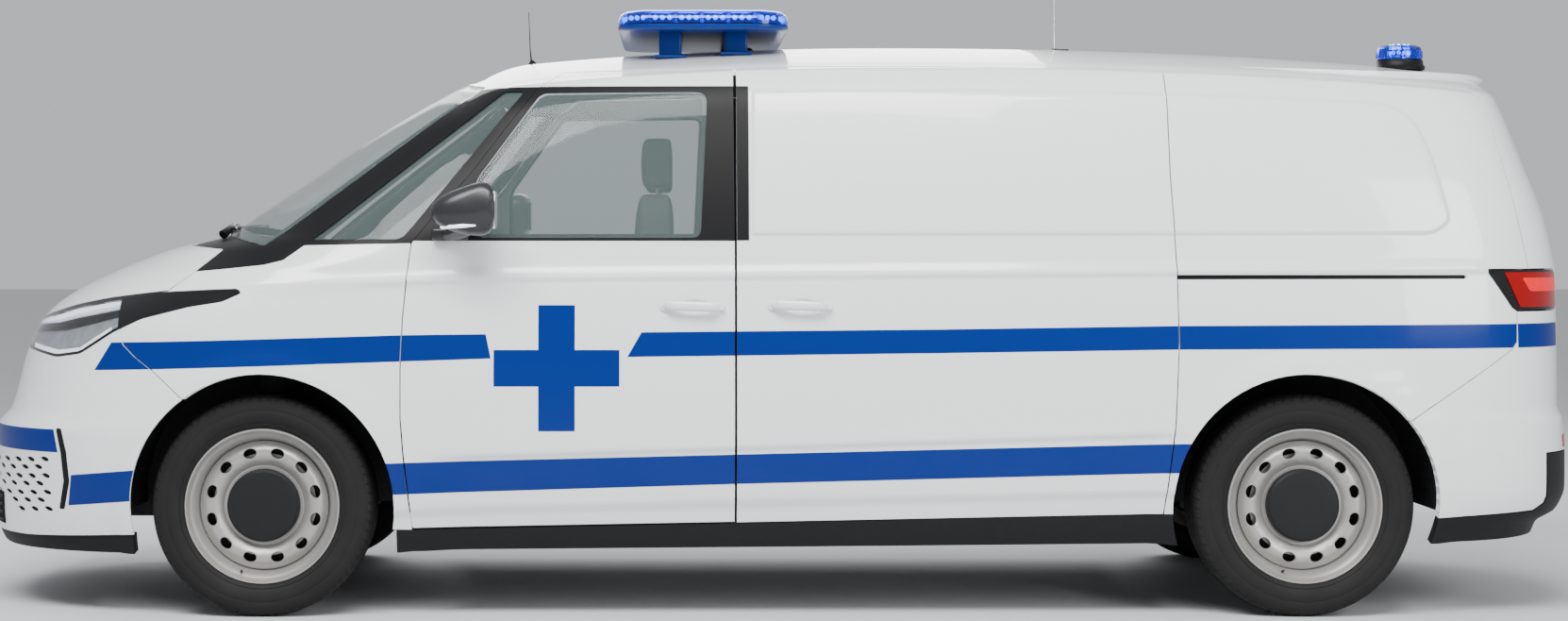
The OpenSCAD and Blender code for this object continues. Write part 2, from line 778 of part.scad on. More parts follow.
// Wheels
module tyre(x) {
    color("black")
        translate([0, track / 2, 0])
            wheel_place(x)
                rotate_extrude($fn = 120)
                    polygon([
                        [rim_d / 2 - 14, -bead_y], [rim_d / 2, -bead_y], [rim_d / 2 + 1, -bead_y - 8],
                        [rim_d / 2 + 30, -tyre_w / 2],
                        [tyre_d / 2 - 35, -tyre_w / 2 + 3], [tyre_d / 2 - 10, -tyre_w / 2 + 16],
                        [tyre_d / 2, -tyre_w / 2 + 34], [tyre_d / 2, tyre_w / 2 - 34],
                        [tyre_d / 2 - 10, tyre_w / 2 - 16], [tyre_d / 2 - 35, tyre_w / 2 - 3],
                        [rim_d / 2 + 30, tyre_w / 2], [rim_d / 2 + 1, bead_y + 8], [rim_d / 2, bead_y],
                        [rim_d / 2 - 14, bead_y]]);
}
module rim(x) {
    color("silver")
        translate([0, track / 2, 0])
            wheel_place(x)
                difference() {
                    rotate_extrude($fn = 120)
                        polygon([
                            [hub_bore_r, 20], [hub_bore_r, 62], [70, 66], [118, 58], [150, 74], [176, 66],
                            [rim_d / 2 - 44, 50], [rim_d / 2 - 24, bead_y + 6], [rim_d / 2, bead_y + 6], [rim_d / 2, bead_y],
                            [rim_d / 2 - 14, bead_y], [rim_d / 2 - 14, -bead_y], [rim_d / 2, -bead_y],
                            [rim_d / 2, -bead_y - 6], [rim_d / 2 - 22, -bead_y - 6], [rim_d / 2 - 24, 30],
                            [178, 54], [150, 60], [118, 45], [70, 50], [64, 20]]);
                    for (a = [0:30:330])
                        rotate([0, 0, a])
                            translate([171, 0, 30])
                                scale([0.79, 1, 1])
                                    cylinder(r = 20, h = 60, $fn = 24);
                    for (a = [0:72:288])
                        rotate([0, 0, a])
                            translate([56, 0, 0])
                                cylinder(r = 7, h = 100, $fn = 24);
                }
}

// Roof equipment
module light_bar() {
    color([0.1, 0.3, 0.8, 0.7]) {
        translate([place_x(230), 0, place_z(1872) + 32])
            hull()
                for (x = [-bar_l / 2 + 120, bar_l / 2 - 120])
                    for (y = [-bar_w / 2 + 120, bar_w / 2 - 120])
                        translate([x, y, 0])
                            cylinder(r = 120, h = 68, $fn = 32);
        both_sides()
            difference() {
                box([place_x(230) - 180, bar_w / 2 - 300, place_z(1872) - 90],
                    [place_x(230) + 180, bar_w / 2 - 220, place_z(1872) + 32]);
                body_solid(-400, 800, 0);
            }
    }
}
module rear_beacon() {
    color([0.1, 0.3, 0.8, 0.7])
        difference() {
            translate([place_x(-2150), place_y(300), place_z(1738)])
                cylinder(d = beacon_d, h = 132, $fn = 48);
            body_solid(-2500, -1800, 0);
        }
}
module antennas() {
    color("black")
        difference() {
            union() {
                translate([place_x(830), 0, place_z(1790)])
                    cylinder(r = 6, h = 190, $fn = 16);
                translate([place_x(830), 0, place_z(1780)])
                    cylinder(r = 18, h = 45, $fn = 24);
                translate([place_x(-1010), 0, place_z(1860)])
                    cylinder(r = 8, h = whip_h, $fn = 16);
                translate([place_x(-1010), 0, place_z(1850)])
                    cylinder(r = 30, h = 35, $fn = 24);
                translate([place_x(100), place_y(150), place_z(1850)])
                    cylinder(r = 46, h = 36, $fn = 32);
            }
            body_solid(-1400, 1100, 0);
        }
}

floor_pan();
roof_panel();
side_panel_left();
right_side() side_panel_left();  // side_panel_right
sliding_door_left();
right_side() sliding_door_left();  // sliding_door_right
front_wings();
windscreen_pillars();
cowl_panel();
bonnet();
front_bumper();
front_valance();
rear_bumper();
rear_valance();
sill_covers();
windscreen();
quarter_glass();
headlamps();
tail_lamps();
front_door_left();
right_side() front_door_left();  // front_door_right
door_glass_left();
right_side() door_glass_left();  // door_glass_right
mirror_left();
right_side() mirror_left();  // mirror_right
tailgate();
tailgate_glass();
partition();
dashboard();
steering_wheel();
front_seats();
cabinet();
stretcher();
stretcher_mattress();
battery_pack();
front_subframe();
rear_axle();
crossmembers();
knuckle_left();
right_side() knuckle_left();  // knuckle_right
tyre(front_x);  // tyre_front_left
right_side() tyre(front_x);  // tyre_front_right
tyre(rear_x);  // tyre_rear_left
right_side() tyre(rear_x);  // tyre_rear_right
rim(front_x);  // rim_front_left
right_side() rim(front_x);  // rim_front_right
rim(rear_x);  // rim_rear_left
right_side() rim(rear_x);  // rim_rear_right
light_bar();
rear_beacon();
antennas();
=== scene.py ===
import math
import random
import bmesh
import bpy
from mathutils import Matrix, Vector
from mathutils.bvhtree import BVHTree
from mathutils.interpolate import poly_3d_calc


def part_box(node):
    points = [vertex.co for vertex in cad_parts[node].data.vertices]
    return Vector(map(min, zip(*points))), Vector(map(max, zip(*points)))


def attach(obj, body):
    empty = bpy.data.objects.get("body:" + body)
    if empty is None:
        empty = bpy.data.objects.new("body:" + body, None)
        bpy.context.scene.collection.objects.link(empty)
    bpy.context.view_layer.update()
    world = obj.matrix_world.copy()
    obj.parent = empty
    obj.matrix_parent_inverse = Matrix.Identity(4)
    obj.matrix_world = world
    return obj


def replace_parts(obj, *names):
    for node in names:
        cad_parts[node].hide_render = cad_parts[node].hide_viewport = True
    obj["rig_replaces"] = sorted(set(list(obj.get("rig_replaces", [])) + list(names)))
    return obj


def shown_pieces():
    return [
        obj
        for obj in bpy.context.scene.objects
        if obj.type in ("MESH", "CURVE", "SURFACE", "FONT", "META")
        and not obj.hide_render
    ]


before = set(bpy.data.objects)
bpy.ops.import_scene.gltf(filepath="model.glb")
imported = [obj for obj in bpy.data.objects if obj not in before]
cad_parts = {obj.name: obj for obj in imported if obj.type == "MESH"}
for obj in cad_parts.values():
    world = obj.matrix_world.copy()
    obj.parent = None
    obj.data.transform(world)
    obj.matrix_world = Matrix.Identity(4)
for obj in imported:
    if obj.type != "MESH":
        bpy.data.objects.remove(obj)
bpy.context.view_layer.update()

mm = 0.001
slack = 0.0015  # reach of a cut past the ends of its line
merged = 2e-6  # points closer than this are one
random.seed(7)

# Small helpers


def smooth(a, b, t):
    u = max(0.0, min(1.0, (t - a) / (b - a)))
    return u * u * (3 - 2 * u)


def curveThrough(points):
    ts = [p[0] for p in points]
    vs = [p[1] for p in points]
    last = len(ts) - 1
    steps = [(vs[i + 1] - vs[i]) / (ts[i + 1] - ts[i]) for i in range(last)]
    slopes = [steps[0]]
    for i in range(1, last):
        a, b = steps[i - 1], steps[i]
        slopes.append(0 if a * b <= 0 else 2 * a * b / (a + b))
    slopes.append(steps[-1])

    def value(t):
        if t <= ts[0]:
            return vs[0]
        if t >= ts[-1]:
            return vs[-1]
        i = max(k for k in range(last) if ts[k] <= t)
        h = ts[i + 1] - ts[i]
        u = (t - ts[i]) / h
        return ((2 * u**3 - 3 * u**2 + 1) * vs[i] + (u**3 - 2 * u**2 + u) * h * slopes[i]
                + (-2 * u**3 + 3 * u**2) * vs[i + 1] + (u**3 - u**2) * h * slopes[i + 1])

    return value


def circleOutline(x, z, r, count=72):
    return [(x + r * math.cos(2 * math.pi * i / count), z + r * math.sin(2 * math.pi * i / count))
            for i in range(count)]


def outlineArea(points):
    return 0.5 * sum(a[0] * b[1] - b[0] * a[1] for a, b in zip(points, points[1:] + points[:1]))


def shrinkOutline(points, distance):
    sign = 1 if outlineArea(points) > 0 else -1
    moved = []
    count = len(points)
    for i in range(count):
        a, b, c = (Vector(points[(i + k) % count]) for k in (-1, 0, 1))
        e1 = (b - a).normalized()
        e2 = (c - b).normalized()
        n1 = Vector((-e1.y, e1.x)) * sign
        n2 = Vector((-e2.y, e2.x)) * sign
        mid = n1 + n2
        if mid.length < 0.2:
            moved.append(tuple(b + n1 * distance))
            continue
        mid.normalize()
        moved.append(tuple(b + mid * distance / max(0.4, mid.dot(n1))))
    return moved


def roundOutline(points, radius, steps=5):
    rounded = []
    count = len(points)
    for i in range(count):
        a, b, c = (Vector(points[(i + k) % count]) for k in (-1, 0, 1))
        r = radius[i] if isinstance(radius, (list, tuple)) else radius
        u = (a - b).normalized()
        v = (c - b).normalized()
        reach = min(r, (a - b).length * 0.45, (c - b).length * 0.45)
        if reach < 0.5:
            rounded.append(tuple(b))
            continue
        for k in range(steps + 1):
            t = k / steps
            rounded.append(tuple((1 - t)**2 * (b + u * reach) + 2 * t * (1 - t) * b + t * t
                                 * (b + v * reach)))
    return rounded


def insideOutline(x, z, points):
    hit = False
    for (x1, z1), (x2, z2) in zip(points, points[1:] + points[:1]):
        if (z1 > z) != (z2 > z) and x < (x2 - x1) * (z - z1) / (z2 - z1) + x1:
            hit = not hit
    return hit


# Materials


def nodeGroup(name, inputs, outputs, build):
    group = bpy.data.node_groups.new(name, "ShaderNodeTree")
    for label, kind, value in inputs:
        socket = group.interface.new_socket(name=label, in_out="INPUT", socket_type=kind)
        if value is not None:
            socket.default_value = value
    for label, kind in outputs:
        group.interface.new_socket(name=label, in_out="OUTPUT", socket_type=kind)
    start = group.nodes.new("NodeGroupInput")
    end = group.nodes.new("NodeGroupOutput")
    build(group, start, end)
    return group


def addNode(tree, kind, **values):
    item = tree.nodes.new(kind)
    for key, value in values.items():
        if key.replace("_", " ") in item.inputs:
            item.inputs[key.replace("_", " ")].default_value = value
        else:
            setattr(item, key, value)
    return item


def buildDust(group, start, end):
    coords = addNode(group, "ShaderNodeTexCoord")
    split = addNode(group, "ShaderNodeSeparateXYZ")
    group.links.new(coords.outputs["Object"], split.inputs[0])
    fade = addNode(group, "ShaderNodeMapRange", To_Min=1, To_Max=0)
    group.links.new(split.outputs["Z"], fade.inputs["Value"])
    group.links.new(start.outputs["Low"], fade.inputs["From Min"])
    group.links.new(start.outputs["High"], fade.inputs["From Max"])
    patches = addNode(group, "ShaderNodeTexNoise", Detail=5.0)
    group.links.new(coords.outputs["Object"], patches.inputs["Vector"])
    group.links.new(start.outputs["Scale"], patches.inputs["Scale"])
    product = addNode(group, "ShaderNodeMath", operation="MULTIPLY")
    group.links.new(fade.outputs[0], product.inputs[0])
    group.links.new(patches.outputs[0], product.inputs[1])
    amount = addNode(group, "ShaderNodeMath", operation="MULTIPLY")
    group.links.new(product.outputs[0], amount.inputs[0])
    group.links.new(start.outputs["Amount"], amount.inputs[1])
    mixed = addNode(group, "ShaderNodeMix", data_type="RGBA")
    group.links.new(amount.outputs[0], mixed.inputs[0])
    group.links.new(start.outputs["Clean"], mixed.inputs[6])
    group.links.new(start.outputs["Dust"], mixed.inputs[7])
    group.links.new(mixed.outputs[2], end.inputs["Color"])
    rough = addNode(group, "ShaderNodeMapRange", To_Max=0.85)
    group.links.new(amount.outputs[0], rough.inputs["Value"])
    group.links.new(start.outputs["Rough"], rough.inputs["To Min"])
    group.links.new(rough.outputs[0], end.inputs["Roughness"])


def buildGrain(group, start, end):
    coords = addNode(group, "ShaderNodeTexCoord")
    coarse = addNode(group, "ShaderNodeTexVoronoi")
    fine = addNode(group, "ShaderNodeTexNoise", Detail=4.0)
    for item in (coarse, fine):
        group.links.new(coords.outputs["Object"], item.inputs["Vector"])
        group.links.new(start.outputs["Scale"], item.inputs["Scale"])
    height = addNode(group, "ShaderNodeMath", operation="ADD")
    group.links.new(coarse.outputs[0], height.inputs[0])
    group.links.new(fine.outputs[0], height.inputs[1])
    group.links.new(height.outputs[0], end.inputs["Height"])
    tint = addNode(group, "ShaderNodeMapRange", From_Min=0.3, From_Max=0.7)
    group.links.new(fine.outputs[0], tint.inputs["Value"])
    group.links.new(start.outputs["Dark"], tint.inputs["To Min"])
    group.links.new(start.outputs["Light"], tint.inputs["To Max"])
    shade = addNode(group, "ShaderNodeMix", data_type="RGBA", blend_type="MULTIPLY")
    shade.inputs[0].default_value = 1
    group.links.new(start.outputs["Color"], shade.inputs[6])
    group.links.new(tint.outputs[0], shade.inputs[7])
    group.links.new(shade.outputs[2], end.inputs["Color"])


dustGroup = nodeGroup(
    "lightDust",
    [("Clean", "NodeSocketColor", (1, 1, 1, 1)), ("Dust", "NodeSocketColor", (0.4, 0.36, 0.3, 1)),
     ("Amount", "NodeSocketFloat", 0.2), ("Scale", "NodeSocketFloat", 4.0), ("Low", "NodeSocketFloat", 0.1),
     ("High", "NodeSocketFloat", 0.6), ("Rough", "NodeSocketFloat", 0.2)],
    [("Color", "NodeSocketColor"), ("Roughness", "NodeSocketFloat")], buildDust)
grainGroup = nodeGroup(
    "mouldedGrain",
    [("Color", "NodeSocketColor", (1, 1, 1, 1)), ("Scale", "NodeSocketFloat", 300.0),
     ("Dark", "NodeSocketFloat", 0.9), ("Light", "NodeSocketFloat", 1.08)],
    [("Color", "NodeSocketColor"), ("Height", "NodeSocketFloat")], buildGrain)


def newMaterial(name, color, **values):
    material = bpy.data.materials.new(name)
    material.use_nodes = True
    shader = material.node_tree.nodes["Principled BSDF"]
    shader.inputs["Base Color"].default_value = (*color, 1)
    for key, value in values.items():
        shader.inputs[key.replace("_", " ")].default_value = value
    material.diffuse_color = (*color, 1)
    return material, shader


def dusty(name, color, amount=0.12, rough=0.2, low=0.15, high=0.9, scale=5.0, **values):
    material, shader = newMaterial(name, color, **values)
    tree = material.node_tree
    dust = addNode(tree, "ShaderNodeGroup", node_tree=dustGroup, Clean=(*color, 1), Amount=amount,
                   Rough=rough, Low=low, High=high, Scale=scale)
    tree.links.new(dust.outputs["Color"], shader.inputs["Base Color"])
    tree.links.new(dust.outputs["Roughness"], shader.inputs["Roughness"])
    return material


def grained(name, color, scale=300.0, bump=0.15, dark=0.85, light=1.12, distance=0.0006, **values):
    material, shader = newMaterial(name, color, **values)
    tree = material.node_tree
    grain = addNode(tree, "ShaderNodeGroup", node_tree=grainGroup, Color=(*color, 1), Scale=scale,
                    Dark=dark, Light=light)
    raised = addNode(tree, "ShaderNodeBump", Strength=bump, Distance=distance)
    tree.links.new(grain.outputs["Height"], raised.inputs["Height"])
    tree.links.new(grain.outputs["Color"], shader.inputs["Base Color"])
    tree.links.new(raised.outputs["Normal"], shader.inputs["Normal"])
    return material


def clearGlass(name, color, rough=0.02):
    material, shader = newMaterial(name, color, Roughness=rough, IOR=1.45, Transmission_Weight=1.0)
    tree = material.node_tree
    dust = addNode(tree, "ShaderNodeGroup", node_tree=dustGroup, Clean=(*color, 1),
                   Dust=(*[c * 0.8 for c in color], 1), Amount=0.15, Rough=rough, High=1.6)
    tree.links.new(dust.outputs["Color"], shader.inputs["Base Color"])
    return material


def glowing(name, color, strength):
    material, shader = newMaterial(name, color, Roughness=0.3)
    shader.inputs["Emission Strength"].default_value = strength
    tree = material.node_tree
    grain = addNode(tree, "ShaderNodeGroup", node_tree=grainGroup, Color=(*color, 1), Scale=120.0)
    tree.links.new(grain.outputs["Color"], shader.inputs["Emission Color"])
    tree.links.new(grain.outputs["Color"], shader.inputs["Base Color"])
    return material


paintWhite = dusty("paintWhite", (0.80, 0.81, 0.82), amount=0.10, rough=0.26, Coat_Weight=0.8,
                   Coat_Roughness=0.05)
stripeBlue = dusty("stripeBlue", (0.0, 0.017, 0.165), amount=0.03, rough=0.34, Coat_Weight=0.08,
                   Coat_Roughness=0.08, Specular_IOR_Level=0.12)
barBlue = dusty("barBlue", (0.0, 0.02, 0.16), amount=0.02, rough=0.3, Specular_IOR_Level=0.2)
trimBlack = grained("trimBlack", (0.006, 0.006, 0.0065), scale=500, bump=0.1, Roughness=0.42,
                    Specular_IOR_Level=0.15)
glossBlack = dusty("glossBlack", (0.006, 0.006, 0.007), amount=0.03, rough=0.14, Coat_Weight=0.25,
                   Specular_IOR_Level=0.25)
sillBlack = grained("sillBlack", (0.011, 0.011, 0.012), scale=260, bump=0.25, Roughness=0.6,
                    Specular_IOR_Level=0.15)
linerBlack = grained("linerBlack", (0.01, 0.01, 0.01), scale=120, bump=0.3, Roughness=0.9,
                     Specular_IOR_Level=0.15)
insideGrey = grained("insideGrey", (0.17, 0.175, 0.18), scale=300, bump=0.1, Roughness=0.7)
roomWhite = grained("roomWhite", (0.62, 0.63, 0.64), scale=200, bump=0.05, Roughness=0.45)
windowGlass = dusty("windowGlass", (0.15, 0.20, 0.196), amount=0.02, rough=0.05, Alpha=0.22)
lensClear = clearGlass("lensClear", (0.93, 0.95, 0.97), 0.01)
lensBlue = clearGlass("lensBlue", (0.02, 0.16, 0.9), 0.04)
lensRed = dusty("lensRed", (0.25, 0.0, 0.001), amount=0.0, rough=0.15, Coat_Weight=0.2,
                Specular_IOR_Level=0.2)
glowRed = glowing("glowRed", (0.75, 0.0, 0.005), 0.25)
glowBlue = glowing("glowBlue", (0.25, 0.6, 1.0), 6.0)
glowWhite = glowing("glowWhite", (0.9, 0.95, 1.0), 1.5)
lampChrome = grained("lampChrome", (0.75, 0.77, 0.8), scale=40, bump=0.05, Metallic=0.95, Roughness=0.15)
rimSilver = dusty("rimSilver", (0.36, 0.352, 0.338), amount=0.3, rough=0.34, low=0.0, high=0.7, scale=14,
                  Metallic=0.55)
capBlack = grained("capBlack", (0.012, 0.0125, 0.0135), scale=220, bump=0.12, Roughness=0.5,
                   Specular_IOR_Level=0.15)
steelGrey = dusty("steelGrey", (0.33, 0.33, 0.34), amount=0.3, rough=0.35, Metallic=0.8)
chassisBlack = grained("chassisBlack", (0.03, 0.03, 0.032), scale=90, bump=0.3, Roughness=0.7,
                       Specular_IOR_Level=0.15)
seatCloth = grained("seatCloth", (0.06, 0.065, 0.07), scale=900, bump=0.5, dark=0.6, light=1.4, Roughness=0.9)
mattressBlue = grained("mattressBlue", (0.03, 0.09, 0.28), scale=350, bump=0.3, Roughness=0.6)
brightMetal = grained("brightMetal", (0.6, 0.61, 0.63), scale=150, bump=0.1, Metallic=0.9, Roughness=0.3)
mirrorDome = grained("mirrorDome", (0.016, 0.016, 0.018), scale=400, bump=0.06, Roughness=0.3)
mirrorGlass = grained("mirrorGlass", (0.85, 0.87, 0.88), scale=30, bump=0.0, Metallic=1.0, Roughness=0.04)
plateBlank = grained("plateBlank", (0.75, 0.76, 0.76), scale=60, bump=0.1, Roughness=0.4)


def tyreMaterial(name, x, side):
    # Rubber with sipes across the tread, which follow the angle around the wheel
    material, shader = newMaterial(name, (0.009, 0.009, 0.0095), Roughness=0.72, Specular_IOR_Level=0.15)
    tree = material.node_tree
    coords = addNode(tree, "ShaderNodeTexCoord")
    centred = addNode(tree, "ShaderNodeMapping", Location=(-x, -side, -axleZ * mm))
    tree.links.new(coords.outputs["Object"], centred.inputs["Vector"])
    split = addNode(tree, "ShaderNodeSeparateXYZ")
    tree.links.new(centred.outputs[0], split.inputs[0])
    angle = addNode(tree, "ShaderNodeMath", operation="ARCTAN2")
    tree.links.new(split.outputs["Z"], angle.inputs[0])
    tree.links.new(split.outputs["X"], angle.inputs[1])
    turns = addNode(tree, "ShaderNodeMath", operation="MULTIPLY")
    tree.links.new(angle.outputs[0], turns.inputs[0])
    turns.inputs[1].default_value = 72
    slant = addNode(tree, "ShaderNodeMath", operation="MULTIPLY_ADD")
    tree.links.new(split.outputs["Y"], slant.inputs[0])
    slant.inputs[1].default_value = 70
    tree.links.new(turns.outputs[0], slant.inputs[2])
    wave = addNode(tree, "ShaderNodeMath", operation="SINE")
    tree.links.new(slant.outputs[0], wave.inputs[0])
    radius = addNode(tree, "ShaderNodeVectorMath", operation="LENGTH")
    flat = addNode(tree, "ShaderNodeCombineXYZ")
    tree.links.new(split.outputs["X"], flat.inputs["X"])
    tree.links.new(split.outputs["Z"], flat.inputs["Z"])
    tree.links.new(flat.outputs[0], radius.inputs[0])
    onTread = addNode(tree, "ShaderNodeMapRange", From_Min=0.336, From_Max=0.345)
    tree.links.new(radius.outputs["Value"], onTread.inputs["Value"])
    cuts = addNode(tree, "ShaderNodeMapRange", From_Min=-0.9, From_Max=-0.65)
    tree.links.new(wave.outputs[0], cuts.inputs["Value"])
    deep = addNode(tree, "ShaderNodeMath", operation="MULTIPLY")
    tree.links.new(cuts.outputs[0], deep.inputs[0])
    tree.links.new(onTread.outputs[0], deep.inputs[1])
    raised = addNode(tree, "ShaderNodeBump", Strength=0.9, Distance=0.006)
    tree.links.new(deep.outputs[0], raised.inputs["Height"])
    tree.links.new(raised.outputs["Normal"], shader.inputs["Normal"])
    dust = addNode(tree, "ShaderNodeGroup", node_tree=dustGroup, Clean=(0.009, 0.009, 0.0095, 1),
                   Dust=(0.045, 0.042, 0.04, 1), Amount=0.4, Scale=9, Rough=0.65, High=0.8)
    tree.links.new(dust.outputs["Color"], shader.inputs["Base Color"])
    return material


slotNames = {
    "white_paint": "paintWhite stripeBlue plateBlank", "grey_panel": "insideGrey roomWhite",
    "black_plastic": "barBlue trimBlack sillBlack linerBlack capBlack glossBlack mirrorDome",
    "window_glass": "windowGlass", "lamp_glass": "lensClear lampChrome glowWhite", "blue_lens": "lensBlue",
    "red_lens": "lensRed glowRed", "bright_metal": "brightMetal mirrorGlass", "silver_rim": "rimSilver",
    "seat_cloth": "seatCloth", "mattress_cover": "mattressBlue", "chassis_steel": "steelGrey chassisBlack",
}
slotNames = {material: slot for slot, names in slotNames.items() for material in names.split()}
print("materials ready")

# The body's surface

bodyShape = {  # millimetres; a level is a height on the middle of the body, which the roof's curve lowers
    "noseLine": [(200, 2635), (235, 2650), (585, 2650), (612, 2630), (640, 2606), (720, 2586), (800, 2572),
                 (870, 2550), (930, 2518), (980, 2472), (1030, 2400), (1070, 2322), (1120, 2208), (1170, 2072),
                 (1195, 1975), (1228, 1850), (1276, 1782), (1415, 1610), (1577, 1432), (1695, 1290),
                 (1794, 1150), (1852, 1052), (1866, 1005), (1872, 960)],
    "tailLine": [(200, -2545), (250, -2560), (300, -2625), (385, -2650), (575, -2645), (625, -2638),
                 (655, -2621), (1085, -2620), (1195, -2604), (1503, -2522), (1717, -2462), (1832, -2425),
                 (1872, -2392)],
    "noseStart": [(300, 1640), (900, 1640), (1100, 1400), (1200, 950), (1300, 650), (1800, 350)],
    "nosePower": [(300, 2.7), (600, 2.6), (900, 2.2), (1120, 2.3), (1240, 3.1), (1800, 3.3)],
    "bottomLine": [(-2650, 385), (-2625, 300), (-2560, 250), (-2000, 236), (1200, 206), (2500, 196),
                   (2620, 205), (2650, 235)],
    "tailStart": -1700, "tailPower": 4.2,
    "roof": 1872, "crown": 102, "halfWidth": 985, "creaseZ": 680,
    "noseSteps": 46, "middleSteps": 84, "tailSteps": 34,
}
frontX, rearX, axleZ = 1642, -1688, 355
archR = 424
curves = {key: curveThrough(bodyShape[key]) for key in
          ("noseLine", "tailLine", "noseStart", "nosePower", "bottomLine")}


def roofDrop(x):
    x = min(x, 1000)
    drop = 92 * ((-350 - x) / 2080)**2.2 if x < -350 else 75 * ((x + 350) / 1400)**1.9
    return drop + (12 * ((x - 820) / 100)**2 if x > 820 else 0)


def halfWidth(level):
    shoulder = bodyShape["roof"] - bodyShape["crown"]
    if level > shoulder:
        return halfWidth(shoulder) * ((bodyShape["roof"] - level) / bodyShape["crown"])**0.455
    width = bodyShape["halfWidth"]
    if level > bodyShape["creaseZ"]:
        width -= 0.0001516 * (level - bodyShape["creaseZ"])**2
    else:
        width -= 60 * ((bodyShape["creaseZ"] - level) / 450)**2.5
    if level > 1640:
        width -= 40 * ((level - 1640) / 130)**2.5
    return width


def skinPoint(level, u):
    width = halfWidth(level)
    start, power, nose = (curves[k](level) for k in ("noseStart", "nosePower", "noseLine"))
    tail = curves["tailLine"](level)
    if u <= 1:
        a = u * math.pi / 2
        x = start + (nose - start) * max(0, math.cos(a))**(2 / power)
        y = width * math.sin(a)**(2 / power)
    elif u <= 2:
        x = start + (bodyShape["tailStart"] - start) * (u - 1)
        y = width
    else:
        a = (u - 2) * math.pi / 2
        n = bodyShape["tailPower"]
        x = bodyShape["tailStart"] - (bodyShape["tailStart"] - tail) * math.sin(a)**(2 / n)
        y = width * max(0, math.cos(a))**(2 / n)
    if level < 400:
        low = curves["bottomLine"](x)
        z = low + (level - 200) / 200 * (400 - low)
    else:
        z = level
        for _ in range(7):
            z = level - roofDrop(x) * smooth(1250, 1700, z)
    return Vector((x, y if 0 < u < 3 else 0, z)) * mm


def featureHeight(x, z, level):
    # Pressed lines of the body side, in millimetres outwards
    rise = 0
    shoulder = 1101 - 0.0085 * (x + 1267) - max(0, x - 900) * 0.03
    if x < 2000:
        fade = smooth(2050, 1500, x) if x > 1500 else smooth(-2330, -2200, x)
        rise += 9 * fade * (smooth(shoulder - 12, shoulder, z) - smooth(shoulder, shoulder + 50, z))
    lower = 550 - 0.032 * x
    rise -= 11 * smooth(lower + 6, lower - 18, z) * smooth(1150, 1000, x) * smooth(-1350, -1200, x)
    tuck = 371 - 0.0247 * x
    if z < tuck + 20:
        rise -= 10 * smooth(tuck + 5, tuck - 20, z) * smooth(2000, 1300, abs(x))
    for centre in (frontX, rearX):
        r = math.hypot(x - centre, z - axleZ)
        if r < 560:
            rise += 9 * (1 - smooth(archR + 34, archR + 74, r))
    if abs(level - 1774) < 14 and -2300 < x < 900:
        rise -= 5 * (1 - abs(level - 1774) / 14)
    return rise


def buildLevels():
    spans = [(200, 400, 15), (400, 640, 9), (640, 1060, 22), (1060, 1150, 7), (1150, 1240, 9),
             (1240, 1744, 22), (1744, 1760, 8), (1760, 1788, 4)]
    levels = []
    for low, high, step in spans:
        count = round((high - low) / step)
        levels += [low + (high - low) * i / count for i in range(count)]
    crownSteps = 16
    levels += [1872 - 84 * (1 - i / crownSteps)**1.9 for i in range(crownSteps + 1)]
    return levels


def buildSkin():
    levels = buildLevels()
    shares = ([i / bodyShape["noseSteps"] for i in range(bodyShape["noseSteps"])]
              + [1 + i / bodyShape["middleSteps"] for i in range(bodyShape["middleSteps"])]
              + [2 + i / bodyShape["tailSteps"] for i in range(bodyShape["tailSteps"] + 1)])
    bm = bmesh.new()
    across, up = len(shares) - 1, len(levels) - 1
    bmesh.ops.create_grid(bm, x_segments=across, y_segments=up, size=1)
    places = {}
    for v in bm.verts:
        i = round((v.co.x + 1) / 2 * across)
        j = round((v.co.y + 1) / 2 * up)
        places[v] = (i, j)
        v.co = skinPoint(levels[j], shares[i])
    bm.normal_update()
    if sum(f.normal.y for f in bm.faces) < 0:
        bmesh.ops.reverse_faces(bm, faces=bm.faces[:])
        bm.normal_update()
    moves = {}
    for v, (i, j) in places.items():
        normal = v.normal.copy()
        if i in (0, across) or j == up:
            normal.y = 0
            normal.normalize()
        moves[v] = normal * featureHeight(v.co.x / mm, v.co.z / mm, levels[j]) * mm
    for v, move in moves.items():
        v.co += move
    bm.normal_update()
    for v, (i, j) in places.items():
        if i in (0, across) or j == up:
            v.normal = Vector((v.normal.x, 0, v.normal.z)).normalized()
    bm.verts.ensure_lookup_table()
    bm.faces.ensure_lookup_table()
    return bm


skin = buildSkin()
skinTree = BVHTree.FromBMesh(skin)
skinNormals = [v.normal.copy() for v in skin.verts]
skinFaces = [([v.co.copy() for v in f.verts], [v.index for v in f.verts]) for f in skin.faces]
faceBoxes = [(min(p.x for p in c), max(p.x for p in c), min(p.z for p in c), max(p.z for p in c))
             for c, _ in skinFaces]


def skinNormalAt(point):
    # The smooth outward direction of the body's surface nearest to a point, and how far away it is
    side = -1 if point.y < 0 else 1
    place, _, index, distance = skinTree.find_nearest(Vector((point.x, abs(point.y), point.z)))
    corners, names = skinFaces[index]
    weights = poly_3d_calc(corners, place)
    normal = Vector((0, 0, 0))
    for weight, name in zip(weights, names):
        normal += skinNormals[name] * weight
    normal.y *= side
    return normal.normalized(), distance


def skinHit(x, z):
    # The point of the left side at a place of the side view, in millimetres
    hit = skinTree.ray_cast(Vector((x * mm, 3, z * mm)), Vector((0, -1, 0)))
    return hit[0]


print("body surface ready:", len(skin.faces), "faces")


